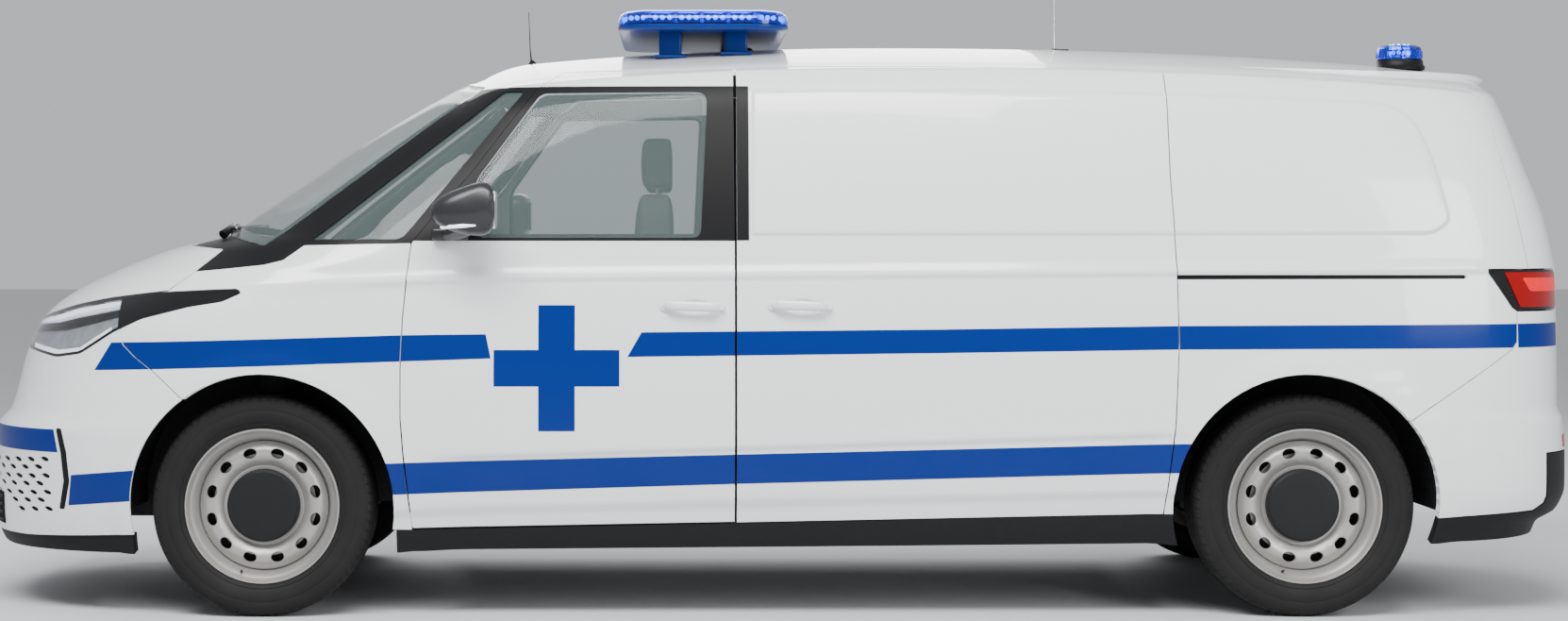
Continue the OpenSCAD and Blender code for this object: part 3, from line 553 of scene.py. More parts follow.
def sliceAlong(bm, a, b):
    lowX, highX = min(a[0], b[0]) * mm - slack, max(a[0], b[0]) * mm + slack
    lowZ, highZ = min(a[1], b[1]) * mm - slack, max(a[1], b[1]) * mm + slack
    faces = []
    for f in bm.faces:
        xs = [v.co.x for v in f.verts]
        if max(xs) < lowX or min(xs) > highX:
            continue
        zs = [v.co.z for v in f.verts]
        if max(zs) < lowZ or min(zs) > highZ:
            continue
        faces.append(f)
    if not faces:
        return
    edges = {e for f in faces for e in f.edges}
    verts = {v for f in faces for v in f.verts}
    normal = Vector((-(b[1] - a[1]), 0, b[0] - a[0])).normalized()
    bmesh.ops.bisect_plane(bm, geom=faces + list(edges) + list(verts), dist=merged,
                           plane_co=(a[0] * mm, 0, a[1] * mm), plane_no=normal)


def sliceRound(bm, outline):
    for a, b in zip(outline, outline[1:] + outline[:1]):
        sliceAlong(bm, a, b)


def dropFaces(bm, outline, keepInside, axis):
    # Axis 0 reads the outline as (X, Z), axis 1 as (Y, Z)
    doomed = []
    for f in bm.faces:
        middle = f.calc_center_median() / mm
        if insideOutline(middle[axis], middle.z, outline) != keepInside:
            doomed.append(f)
    bmesh.ops.delete(bm, geom=doomed, context="FACES")


def trimTo(bm, outline, keepInside):
    sliceRound(bm, outline)
    dropFaces(bm, outline, keepInside, 0)


def trimRear(bm, outline, keepInside):
    # Trims by an outline drawn as (Y, Z) on the end of the body, which a few flat cuts follow
    for a, b in zip(outline, outline[1:] + outline[:1]):
        lowY, highY = min(a[0], b[0]) * mm - slack, max(a[0], b[0]) * mm + slack
        lowZ, highZ = min(a[1], b[1]) * mm - slack, max(a[1], b[1]) * mm + slack
        faces = [f for f in bm.faces if max(v.co.y for v in f.verts) > lowY
                 and min(v.co.y for v in f.verts) < highY and max(v.co.z for v in f.verts) > lowZ
                 and min(v.co.z for v in f.verts) < highZ]
        geom = faces + list({e for f in faces for e in f.edges}) + list({v for f in faces for v in f.verts})
        bmesh.ops.bisect_plane(bm, geom=geom, dist=merged, plane_co=(0, a[0] * mm, a[1] * mm),
                               plane_no=Vector((0, -(b[1] - a[1]), b[0] - a[0])).normalized())
    dropFaces(bm, outline, keepInside, 1)


def skinSheet(keep, cut=(), yFrom=None, yTo=None, cutRear=(), keepRear=()):
    # The part of the left half of the surface inside every kept outline and outside every cut one
    bm = skin.copy()
    bm.faces.ensure_lookup_table()
    first = keep[0]
    lowX, highX = min(p[0] for p in first) * mm, max(p[0] for p in first) * mm
    lowZ, highZ = min(p[1] for p in first) * mm, max(p[1] for p in first) * mm
    far = [bm.faces[i] for i, (a, b, c, d) in enumerate(faceBoxes)
           if b < lowX or a > highX or d < lowZ or c > highZ]
    bmesh.ops.delete(bm, geom=far, context="FACES")
    for outline in keep:
        trimTo(bm, outline, True)
    for outline in cut:
        trimTo(bm, outline, False)
    for outlines, inside in ((keepRear, True), (cutRear, False)):
        for outline in outlines:
            trimRear(bm, outline, inside)
    for limit, sign in ((yFrom, -1), (yTo, 1)):
        if limit is not None:
            bmesh.ops.bisect_plane(bm, geom=bm.faces[:] + bm.edges[:] + bm.verts[:], dist=1e-6,
                                   plane_co=(0, limit * mm, 0), plane_no=(0, sign, 0), clear_outer=True)
    return bm


def giveSide(bm, side):
    if side in ("both", "whole"):
        copy = bmesh.ops.duplicate(bm, geom=bm.verts[:] + bm.edges[:] + bm.faces[:])["geom"]
        verts = [g for g in copy if isinstance(g, bmesh.types.BMVert)]
        faces = [g for g in copy if isinstance(g, bmesh.types.BMFace)]
    elif side == "right":
        verts, faces = bm.verts[:], bm.faces[:]
    else:
        return
    bmesh.ops.scale(bm, verts=verts, vec=(1, -1, 1))
    bmesh.ops.reverse_faces(bm, faces=faces)
    if side == "whole":
        bmesh.ops.remove_doubles(bm, verts=[v for v in bm.verts if abs(v.co.y) < 1e-5], dist=2e-5)


def thicken(bm, depth, lift=0.0):
    # Gives a sheet its wall, inwards from the surface; the new inner faces take the second material
    outward = {v: skinNormalAt(v.co)[0] for v in bm.verts}
    for v, n in outward.items():
        v.co += n * lift * mm
    if not depth:
        return
    inner = bm.faces[:]
    bmesh.ops.extrude_face_region(bm, geom=inner, use_keep_orig=True)
    for v, n in outward.items():
        v.co -= n * depth * mm
    bmesh.ops.reverse_faces(bm, faces=inner)
    for f in inner:
        f.material_index = 1


def setSkinNormals(mesh, press=()):
    # Shades a panel with the smooth surface's own directions, whatever its cuts look like
    mesh.shade_smooth()
    loops = [None] * len(mesh.loops)
    found = {}
    for polygon in mesh.polygons:
        flat = polygon.normal.copy()
        for loopIndex in polygon.loop_indices:
            vertex = mesh.loops[loopIndex].vertex_index
            if vertex not in found:
                place = mesh.vertices[vertex].co
                normal = skinNormalAt(place)[0]
                if press:
                    _, tiltX, tiltZ = pressLift(place.x / mm, place.z / mm, press)
                    normal = (normal - Vector((tiltX, 0, tiltZ))).normalized()
                found[vertex] = normal
            normal = found[vertex]
            facing = normal.dot(flat)
            loops[loopIndex] = normal if facing > 0.8 else -normal if facing < -0.8 else flat
    mesh.normals_split_custom_set(loops)


def placePiece(name, bm, body, materials, replaces=(), skinShading=False, smoothAngle=40,
               press=()):
    # Makes the piece
    mesh = bpy.data.meshes.new(name)
    bm.normal_update()
    bm.to_mesh(mesh)
    bm.free()
    piece = bpy.data.objects.new(name, mesh)
    bpy.context.scene.collection.objects.link(piece)
    for material in materials:
        mesh.materials.append(material)
    if skinShading:
        setSkinNormals(mesh, press)
    else:
        mesh.shade_smooth()
        mesh.set_sharp_from_angle(angle=math.radians(smoothAngle))
    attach(piece, body)
    if replaces:
        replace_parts(piece, *replaces)
    return piece


def edgeDistance(x, z, points):
    # Distance to an outline, above 0 inside it, and the direction that leads inwards
    best, direction = 1e9, (0, 0)
    for (x1, z1), (x2, z2) in zip(points, points[1:] + points[:1]):
        dx, dz = x2 - x1, z2 - z1
        t = max(0, min(1, ((x - x1) * dx + (z - z1) * dz) / (dx * dx + dz * dz + 1e-9)))
        px, pz = x - x1 - t * dx, z - z1 - t * dz
        d = math.hypot(px, pz)
        if d < best:
            best, direction = d, (px / (d + 1e-9), pz / (d + 1e-9))
    if insideOutline(x, z, points):
        return best, direction
    return -best, (-direction[0], -direction[1])


def pressLift(x, z, presses):
    rise, tiltX, tiltZ = 0, 0, 0
    for outline, width, height in presses:
        d, (dx, dz) = edgeDistance(x, z, outline)
        if d > -0.01:
            u = min(1, max(0, d) / width)
            rise += height * u * u * (3 - 2 * u)
            slope = height * 6 * u * (1 - u) / width
            tiltX += slope * dx
            tiltZ += slope * dz
    return rise, tiltX, tiltZ


def skinPiece(name, keep, body="body", cut=(), side="left", depth=30, lift=0, material=None, materials=None,
              replaces=(), slot=None, yFrom=None, yTo=None, press=(), cutRear=(), keepRear=()):
    bm = skinSheet(keep, cut, yFrom, yTo, cutRear, keepRear)
    for outline, width, _ in press:
        for share in (0, 0.17, 0.33, 0.5, 0.67, 0.83, 1):
            ring = shrinkOutline(outline, width * share) if share else outline
            sliceRound(bm, ring)
    giveSide(bm, side)
    for v in bm.verts if press else ():
        rise = pressLift(v.co.x / mm, v.co.z / mm, press)[0]
        if rise:
            v.co += skinNormalAt(v.co)[0] * rise * mm
    thicken(bm, depth, lift)
    if material:
        materials = [material, material]
    return placePiece(name, bm, body, materials or [paintWhite, insideGrey], replaces, True,
                      press=press)


# Outlines of the side view

gap = 2.2
doorFront = [(1165, 1197), (1178, 1090), (1190, 960), (1197, 800), (1197, 640), (1188, 529), (1174, 400),
             (1162, 284)]
doorX = 128
doorSlope = [(690, 1756), (771, 1697), (874, 1563), (977, 1424), (1055, 1334), (1165, 1197)]
slideRear = [(-1262, 1757), (-1262, 1409), (-1276, 1098), (-1279, 870), (-1268, 619), (-1235, 329)]
railLine = [(-2332, 1690), (-2021, 1708), (-1776, 1730), (-1262, 1757), (-550, 1771), (128, 1771),
            (690, 1756)]
pillarFront = [(1647, 1188), (1447, 1338), (1237, 1497), (953, 1712)]
screenTop, screenBase = (1062, 1748), (1850, 1232)
bonnetSide = [(1785, 1181), (1869, 1106), (1956, 1042)]
bonnetLip = [(1956, 1042), (2156, 1018), (2289, 994), (2397, 966), (2500, 938), (2720, 918)]
wingTop = [(1869, 1106), (1765, 1115), (1639, 1128), (1578, 1143), (1514, 1190), (1165, 1197)]
bumperFrontSeam = [(2156, 1018), (2110, 925), (2099, 870), (2056, 832), (1996, 790), (1860, 672)]
tailSeam = [(-2350, 1950), (-2332, 1690), (-2345, 1525), (-2376, 1371), (-2423, 1112)]
bumperRearSeam = [(-2374, 978), (-2372, 880), (-2354, 856), (-2000, 622)]
lampLine = [(-2277, 1112), (-2277, 1100), (-2357, 989), (-2374, 978)]
headlamp = roundOutline([(2560, 846), (2469, 838), (2353, 822), (2256, 836), (2203, 867), (2135, 908),
                         (2036, 952), (1877, 991), (1768, 1008), (1705, 1036), (1718, 1050), (1819, 1046),
                         (1965, 1038), (2156, 1018), (2289, 994), (2397, 966), (2500, 938), (2570, 920)],
                        14, 3)
frontArch = circleOutline(frontX, axleZ, archR)
rearArch = circleOutline(rearX, axleZ, archR)
windowOutline = roundOutline([(241, 1212), (219, 1683), (757, 1680), (964, 1395), (964, 1212)],
                             [30, 40, 25, 30, 30])
quarterOutline = roundOutline([(1490, 1206), (880, 1688), (812, 1688), (1196, 1208)], [12, 12, 12, 25])
doorOutline = [(doorX + 3, 303), (doorX + 3, 1210), (doorX + 6, 1768)] + doorSlope + doorFront[1:]
slidingOutline = [(doorX, 1771), (-550, 1771)] + slideRear + [(doorX, 301)]
bonnetOutline = [(1792, 1177), (2030, 1197), (2060, 1400), (2750, 1400)]
bonnetOutline += bonnetLip[::-1] + bonnetSide[::-1][1:-1]
roofOutline = railLine + [(850, 1744), (953, 1712), screenTop, (1062, 2000), (-2352, 2000)]
pillarOutline = [(1785, 1181)] + wingTop + doorSlope[::-1][1:] + [(850, 1744)] + pillarFront[::-1]
wingOutline = wingTop[::-1] + [(1956, 1042)] + bumperFrontSeam + [(1800, 280), (1215, 280), (1162, 278)] \
    + doorFront[::-1][:-1]
sidePanelOutline = slideRear + [(-1292, 330), (-2000, 330)] + bumperRearSeam[::-1] + lampLine[::-1][1:] \
    + tailSeam[::-1][:-1] + [(-2021, 1708), (-1776, 1730)]
frontBumperOutline = bonnetLip[::-1][:-1] + bumperFrontSeam
frontBumperOutline += [(1860, 400), (2050, 262), (2443, 242), (2750, 241)]
rearBumperOutline = bumperRearSeam + [(-2060, 314), (-2440, 334), (-2480, 356), (-2490, 380), (-2486, 519),
                                      (-2750, 519), (-2750, 978)]
lampY = 700
wingPanel, bumperPanel = shrinkOutline(wingOutline, gap), shrinkOutline(frontBumperOutline, gap * 0.5)
sidePanel, slidingPanel = shrinkOutline(sidePanelOutline, gap * 0.7), shrinkOutline(slidingOutline, gap)
doorPanel = shrinkOutline(doorOutline, gap)
rearBumperPanel = shrinkOutline(rearBumperOutline, gap)

# Painted panels

bothSides = (("left", 1), ("right", -1))
skinPiece("roofSkin", [shrinkOutline(roofOutline, 0.6)], side="whole", replaces=["roof_panel"])
skinPiece("frontWingSkins", [wingPanel], cut=[headlamp, frontArch], side="both",
          replaces=["front_wings"])
skinPiece("bonnetSkin", [shrinkOutline(bonnetOutline, gap)], body="bonnet", side="whole", replaces=["bonnet"],
          depth=3)
skinPiece("cowlCover", [[(1785, 1179), (1792, 1177), (2030, 1197), (2050, 1300), (1850, 1300), screenBase,
                         (1647, 1188)]], side="whole", depth=20, lift=-6, material=trimBlack,
          replaces=["cowl_panel"])
bumperHoles = []
for row in range(7):
    for column in range(5 - row % 2 if row < 5 else 3):
        holeX = 2368 + column * 56 + (28 if row % 2 else 0) - row * 2
        holeZ = 496 - row * 27 - column * 4
        bumperHoles.append([(holeX + 17 * math.cos(a) * 0.94 - 6 * math.sin(a),
                             holeZ + 6.5 * math.sin(a) + 5 * math.cos(a))
                            for a in (2 * math.pi * i / 14 for i in range(14))])
cornerSlot = roundOutline([(2322, 596), (2306, 596), (2286, 519), (2276, 428), (2296, 338), (2312, 338),
                           (2294, 428), (2304, 519)], 5, 3)
skinPiece("frontBumperSkin", [bumperPanel],
          cut=[headlamp, frontArch, cornerSlot] + bumperHoles, side="whole", replaces=["front_bumper"],
          depth=7)
skinPiece("bumperHoleLiner", [[(2266, 604), (2640, 604), (2640, 300), (2266, 300)]], side="both", yFrom=420,
          depth=4, lift=-7.6, material=linerBlack)
skinPiece("frontValanceSkin", [[(2060, 259), (2443, 240), (2750, 239), (2750, 190), (2060, 190)]],
          side="whole", lift=-6, material=sillBlack, replaces=["front_valance"])
skinPiece("rearBumperSkin", [rearBumperPanel], cut=[rearArch], side="both", yFrom=lampY,
          replaces=["rear_bumper"])
skinPiece("rearBumperMiddle", [[(-2440, 334), (-2480, 356), (-2490, 380), (-2486, 519), (-2750, 519),
                                (-2750, 650), (-2300, 650), (-2300, 334)]], cut=[], side="whole", yTo=lampY)
skinPiece("rearValanceSkin", [[(-2060, 312), (-2440, 332), (-2484, 354), (-2494, 380), (-2490, 517),
                               (-2750, 517), (-2750, 190), (-2060, 190)]], cut=[rearArch], side="whole",
          lift=1, material=sillBlack, replaces=["rear_valance"])
skinPiece("sillSkins", [[(1213, 277), (128, 299), (-1235, 327), (-1292, 328), (-1292, 190), (1213, 190)]],
          cut=[frontArch, rearArch], side="both", lift=3, material=sillBlack,
          replaces=["sill_covers"])
raisedPanel = roundOutline([(81, 1697), (-544, 1700), (-1306, 1685), (-1979, 1655), (-2066, 1599),
                            (-2117, 1476), (-2164, 1263), (-2100, 1218), (-1285, 1215), (84, 1215)],
                           [12, 400, 400, 60, 40, 60, 30, 60, 400, 12], 4)
railSlot = [(-1100, 1094), (-2198, 1094), (-2203, 1088), (-2198, 1081), (-1100, 1079)]
handleSpots = {"door": (268, 990), "sliding": (-75, 992)}


def bowl(spot):
    return [(x, z) for x, z in ((spot[0] + 62 * math.cos(a) - 6, spot[1] + 33 * math.sin(a) - 3)
                                for a in (2 * math.pi * i / 28 for i in range(28)))]


for side, sign in bothSides:
    skinPiece(f"sidePanelSkin_{side}", [sidePanel], cut=[rearArch, railSlot],
              side=side, replaces=[f"side_panel_{side}"], press=[(raisedPanel, 18, 8)])
    skinPiece(f"slidingDoorSkin_{side}", [slidingPanel], side=side,
              replaces=[f"sliding_door_{side}"],
              press=[(raisedPanel, 18, 8), (bowl(handleSpots["sliding"]), 26, -17)])
    skinPiece(f"doorSkin_{side}", [doorPanel], cut=[windowOutline], side=side, body=f"door_{side}",
              replaces=[f"front_door_{side}"], press=[(bowl(handleSpots["door"]), 26, -17)])
    skinPiece(f"railLiner_{side}", [[(-1270, 1100), (-2210, 1100), (-2210, 1073), (-1270, 1073)]], side=side,
              depth=4, lift=-14, material=trimBlack)
trimSplit = 1703
skinPiece("pillarSkins", [pillarOutline, [(400, 900), (400, trimSplit), (2000, trimSplit), (2000, 900)]],
          cut=[quarterOutline], side="both", depth=24, material=trimBlack,
          replaces=["windscreen_pillars"])
skinPiece("pillarTopSkins", [pillarOutline, [(400, trimSplit), (400, 1900), (2000, 1900), (2000, trimSplit)]],
          side="both", depth=24)
print("panels ready")

# Stripes, trims and glass on the skin

upperStripe = [(2140, 875), (1179, 903), (925, 906), (909, 829), (1179, 820), (2196, 786)]
upperStripeRear = [(430, 912), (-529, 921), (-1279, 932), (-2345, 937), (-2380, 937), (-2380, 861),
                   (-2344, 861), (-1278, 857), (-529, 846), (475, 834)]
lowerStripe = [(2268, 449), (2043, 472), (1230, 496), (130, 523), (-1400, 560), (-1400, 467), (-1303, 465),
               (130, 429), (1216, 396), (2071, 371), (2280, 350)]
crossOutline = [(x + 700, z + 798) for x, z in
                [(58, 200), (58, 58), (200, 58), (200, -58), (58, -58), (58, -200), (-58, -200), (-58, -58),
                 (-200, -58), (-200, 58), (-58, 58), (-58, 200)]]


def decal(name, keep, body="body", side="both", cut=(), material=stripeBlue, **more):
    return skinPiece(name, keep, body=body, side=side, cut=cut, depth=1.0, lift=0.7, material=material,
                     **more)


decal("stripeUpperWing", [upperStripe, wingPanel])
decal("stripeUpperBumper", [upperStripe, bumperPanel])
decal("stripeLowerBumper", [lowerStripe, bumperPanel], cut=[frontArch])
decal("stripeLowerWing", [[(1800, 300), (1800, 600), (1100, 600), (1100, 300)], lowerStripe, wingPanel],
      cut=[frontArch])
decal("stripeUpperSide", [upperStripeRear, sidePanel])
decal("stripeUpperSliding", [upperStripeRear, slidingPanel])
decal("stripeLowerSide", [lowerStripe, sidePanel], cut=[rearArch])
decal("stripeLowerSliding", [lowerStripe, slidingPanel], cut=[rearArch])
decal("cornerSlotInsert", [shrinkOutline(cornerSlot, -1.5)], material=linerBlack)
decal("stripeNose", [shrinkOutline([(2316, 519), (2332, 594), (2760, 592), (2760, 519)], 1)], yFrom=330)
for side, sign in bothSides:
    decal(f"stripeDoor_{side}", [upperStripe, doorPanel], f"door_{side}", side)
    decal(f"stripeDoorRear_{side}", [upperStripeRear, doorPanel], f"door_{side}", side)
    decal(f"stripeDoorLower_{side}", [lowerStripe, doorPanel], f"door_{side}", side)
    decal(f"cross_{side}", [crossOutline], f"door_{side}", side)
    skinPiece(f"doorFrameTrim_{side}", [[(120, 1203), (120, 1702), (1000, 1702), (1200, 1203)], doorPanel],
              body=f"door_{side}", side=side, cut=[windowOutline], depth=2, lift=1.6,
              material=trimBlack)
    skinPiece(f"doorGlass_{side}", [shrinkOutline(windowOutline, -8)], body=f"door_{side}", side=side,
              depth=4, lift=-5, material=windowGlass, replaces=[f"door_glass_{side}"])
    skinPiece(f"doorFrit_{side}", [shrinkOutline(windowOutline, -6)], body=f"door_{side}", side=side, depth=8,
              cut=[roundOutline(shrinkOutline(windowOutline, 14), 3)], lift=-9.5, material=trimBlack)
    skinPiece(f"doorCard_{side}", [shrinkOutline([(150, 340), (150, 1180), (1150, 1180), (1178, 640),
                                                  (1150, 320)], 6)], body=f"door_{side}", side=side,
              depth=12, lift=-34, material=insideGrey, press=[(roundOutline([(330, 420), (330, 700),
                                                                             (900, 700), (1050, 420)], 50),
                                                               30, -8)])
skinPiece("pillarTrimB", [[(87, 1204), (87, 1702), (140, 1702), (140, 1204)], slidingPanel], side="both",
          depth=2, lift=1.6, material=trimBlack)
skinPiece("quarterGlass", [shrinkOutline(quarterOutline, -6)], side="both", depth=4, lift=-4,
          material=windowGlass, replaces=["quarter_glass"])
windscreenOutline = [(961, 1714), (1237, 1505), (1447, 1346), (1653, 1191), (1846, 1235), (1846, 1290),
                     (1300, 1780), (1066, 1900), (1066, 1752)]
skinPiece("windscreenGlass", [windscreenOutline], side="whole", depth=5, lift=-2,
          material=windowGlass, replaces=["windscreen"])
skinPiece("windscreenFrit", [windscreenOutline], side="whole", depth=1, lift=-7.5,
          cut=[[(990, 1705), (1237, 1524), (1447, 1366), (1640, 1215), (1800, 1256), (1846, 1300),
                (1600, 1700), (1085, 1725)]], material=glossBlack, slot="window_glass")
skinPiece("bonnetInner", [shrinkOutline([(1900, 1150), (2010, 1180), (2060, 1400), (2750, 1400),
                                         (2600, 960)] + bonnetLip[::-1][2:], 24)], body="bonnet",
          side="whole", depth=16, lift=-6, material=insideGrey,
          press=[(roundOutline([(2080, 1060), (2080, 1150), (2250, 1090), (2330, 1020)], 12), 14, -6)])

# Lamps in the skin

skinPiece("headlampLens", [headlamp], side="both", depth=3, lift=-1, material=lensClear,
          replaces=["headlamps"])
skinPiece("headlampRim", [headlamp], cut=[shrinkOutline(headlamp, 9)], side="both", depth=26, lift=0.6,
          material=glossBlack)
skinPiece("headlampTailCover", [[(2120, 1060), (2120, 905), (1690, 1000), (1690, 1060)], headlamp],
          side="both", depth=3, lift=0.2, material=glossBlack)
skinPiece("headlampHousing", [headlamp], side="both", depth=3, lift=-38, material=lampChrome)
skinPiece("headlampRunningLight", [[(2552, 935), (2400, 952), (2289, 981), (2156, 1005), (1960, 1026),
                                    (1960, 1021), (2150, 993), (2283, 966), (2392, 938), (2500, 924)],
                                   headlamp], side="both", depth=8, lift=-10, material=glowWhite)
skinPiece("headlampBrow", [[(2520, 915), (2360, 935), (2270, 955), (2110, 985), (2110, 972), (2240, 938),
                            (2330, 915), (2500, 895)], headlamp], side="both", depth=14, lift=-16,
          material=capBlack)
skinPiece("headlampLower", [[(2480, 862), (2350, 846), (2262, 858), (2150, 925), (2150, 912), (2256, 842),
                             (2353, 828), (2480, 845)], headlamp], side="both", depth=14, lift=-14,
          materials=[glowWhite, lampChrome])
tailLampOutline = [(-2281, 1109), (-2282, 1101), (-2360, 988), (-2374, 981), (-2760, 981), (-2760, 1109)]
decal("stripeRearCorner", [[(-2376, 937), (-2760, 937), (-2760, 861), (-2376, 861)],
                           rearBumperPanel], yFrom=lampY + 3)
skinPiece("tailLampBody", [tailLampOutline], side="both", yFrom=lampY + 3, depth=40, lift=0,
          material=glossBlack, replaces=["tail_lamps"])
skinPiece("tailLampLens", [roundOutline([(-2332, 1102), (-2385, 990), (-2760, 989), (-2760, 1101)], 8)],
          side="both", yFrom=lampY + 10, depth=4, lift=3, material=lensRed)
skinPiece("tailLampGlow", [roundOutline([(-2395, 1084), (-2425, 1040), (-2760, 1040), (-2760, 1084)], 8)],
          side="both", yFrom=lampY + 22, depth=2, lift=4.4, material=glowRed)
skinPiece("rearReflectors", [roundOutline([(-2570, 572), (-2760, 572), (-2760, 528), (-2580, 528)], 6)],
          side="both", yFrom=620, depth=3, lift=2.5, material=lensRed)
print("skin details ready")

# Tailgate

tailWindow = roundOutline([(-20, 1182), (650, 1182), (556, 1636), (-20, 1636)], [1, 40, 40, 1])
tailUpper = [(-2353, 1950), (-2335, 1690), (-2348, 1525), (-2379, 1371), (-2426, 1114), (-2760, 1114),
             (-2760, 1950)]
skinPiece("tailgateUpper", [tailUpper], body="tailgate", side="whole", cutRear=[tailWindow],
          replaces=["tailgate"], depth=30)
skinPiece("tailgateLower", [[(-2426, 1114), (-2426, 656), (-2760, 656), (-2760, 1114)]], body="tailgate",
          side="whole", yTo=lampY - 5, depth=30)
skinPiece("tailgateGlass", [tailUpper], body="tailgate", side="whole", depth=4, lift=-4,
          keepRear=[shrinkOutline(tailWindow, -8)], material=windowGlass,
          replaces=["tailgate_glass"])
skinPiece("tailgateFrit", [tailUpper], body="tailgate", side="whole", depth=3, lift=-8.5,
          keepRear=[shrinkOutline(tailWindow, -8)], cutRear=[shrinkOutline(tailWindow, 22)],
          material=trimBlack)
skinPiece("tailgateCard", [[(-2400, 1105), (-2400, 700), (-2760, 700), (-2760, 1105)]], body="tailgate",
          side="whole", yTo=600, depth=10, lift=-32, material=insideGrey)
skinPiece("rearPlateHollow", [[(-2500, 900), (-2500, 770), (-2760, 770), (-2760, 900)]], body="tailgate",
          side="whole", yTo=290, depth=1, lift=0.8, material=trimBlack)
skinPiece("rearPlate", [[(-2500, 890), (-2500, 780), (-2760, 780), (-2760, 890)]], body="tailgate",
          side="whole", yTo=260, depth=2, lift=3, material=plateBlank)
skinPiece("tailgateGrip", [[(-2500, 935), (-2500, 908), (-2760, 908), (-2760, 935)]], body="tailgate",
          side="whole", yTo=330, depth=10, lift=12, material=trimBlack)
skinPiece("frontPlate", [[(2500, 500), (2500, 390), (2760, 390), (2760, 500)]], side="whole", yTo=260,
          depth=3, lift=6, material=plateBlank)
skinPiece("frontIntake", [shrinkOutline([(2500, 372), (2500, 262), (2760, 262), (2760, 372)], 2)],
          side="whole", yTo=560, depth=2, lift=1.2, material=linerBlack)
for row in range(4):
    low = 272 + row * 26
    skinPiece(f"frontSlat_{row}", [[(2500, low + 9), (2500, low), (2760, low), (2760, low + 9)]],
              side="whole", yTo=552, depth=6, lift=7, material=sillBlack)


# Lofted and turned pieces


def placeKey(p):
    return (round(p.x, 7), round(p.y, 7), round(p.z, 7))


def loftRings(bm, rings, closed=True, caps=True, material=0):
    # Draws the first ring, then extrudes its edge to each next ring in turn
    before = set(bm.faces)
    verts = [bm.verts.new(p) for p in rings[0]]
    pairs = list(zip(verts, verts[1:] + verts[:1])) if closed else list(zip(verts, verts[1:]))
    edges = [bm.edges.new(pair) for pair in pairs]
    if caps:
        bmesh.ops.contextual_create(bm, geom=edges)
    for ring in rings[1:]:
        out = bmesh.ops.extrude_edge_only(bm, edges=edges)["geom"]
        fresh = {placeKey(g.co): g for g in out if isinstance(g, bmesh.types.BMVert)}
        verts = [fresh[placeKey(v.co)] for v in verts]
        pairs = list(zip(verts, verts[1:] + verts[:1])) if closed else list(zip(verts, verts[1:]))
        edges = [bm.edges.get(pair) for pair in pairs]
        for v, p in zip(verts, ring):
            v.co = p
    if caps:
        bmesh.ops.contextual_create(bm, geom=edges)
    made = [f for f in bm.faces if f not in before]
    for f in made:
        f.material_index = material
        f.smooth = True
    return made


def roundedBox(bm, low, high, radius=4, segments=3, material=0):
    middle = [(a + b) / 2 * mm for a, b in zip(low, high)]
    size = [max(0.1, b - a) * mm for a, b in zip(low, high)]
    made = bmesh.ops.create_cube(bm, size=1, matrix=Matrix.Translation(middle) @ Matrix.Diagonal((*size, 1)))
    edges = list({e for v in made["verts"] for e in v.link_edges})
    out = bmesh.ops.bevel(bm, geom=edges, offset=min(radius * mm, min(size) * 0.45), segments=segments,
                          profile=0.5, affect="EDGES", material=-1)
    faces = {f for v in made["verts"] if v.is_valid for f in v.link_faces} | set(out["faces"])
    for f in faces:
        f.material_index = material
    return faces


def tube(bm, points, radii, sides=14, material=0, flatten=1.0):
    rings = []
    for i, p in enumerate(points):
        p = Vector(p)
        before = Vector(points[max(0, i - 1)])
        after = Vector(points[min(len(points) - 1, i + 1)])
        along = (after - before).normalized()
        up = Vector((0, 0, 1)) if abs(along.z) < 0.9 else Vector((1, 0, 0))
        u = along.cross(up).normalized()
        w = u.cross(along).normalized()
        r = radii[i] if isinstance(radii, (list, tuple)) else radii
        rings.append([(p + (u * math.cos(2 * math.pi * k / sides) * flatten + w
                            * math.sin(2 * math.pi * k / sides)) * r) * mm for k in range(sides)])
    return loftRings(bm, rings, material=material)


def turned(bm, profile, centre, axis, steps=64, material=0):
    # Spins a closed profile of (radius, along) around an axis through the centre, in millimetres
    axis = Vector(axis)
    across = Vector((0, 0, 1)) if abs(axis.z) < 0.5 else Vector((1, 0, 0))
    verts = [bm.verts.new((Vector(centre) + across * r + axis * a) * mm) for r, a in profile]
    edges = [bm.edges.new((a, b)) for a, b in zip(verts, verts[1:])]
    if profile[0][0] > 0.01 or profile[-1][0] > 0.01:
        edges.append(bm.edges.new((verts[-1], verts[0])))
    before = set(bm.faces)
    bmesh.ops.spin(bm, geom=verts + edges, axis=axis, cent=Vector(centre) * mm, dvec=(0, 0, 0),
                   angle=2 * math.pi, steps=steps, use_merge=True)
    made = [f for f in bm.faces if f not in before]
    bmesh.ops.remove_doubles(bm, verts=list({v for f in made for v in f.verts}), dist=merged)
    made = [f for f in bm.faces if f not in before]
    for f in made:
        f.material_index = material
    return made


def finishFaces(bm, side="left"):
    # Turns the faces outwards, after mirroring a piece that was drawn on the left
    if side == "right":
        bmesh.ops.scale(bm, verts=bm.verts[:], vec=(1, -1, 1))
    bmesh.ops.recalc_face_normals(bm, faces=bm.faces[:])


def boxCorners(node):
    low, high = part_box(node)
    return low / mm, high / mm


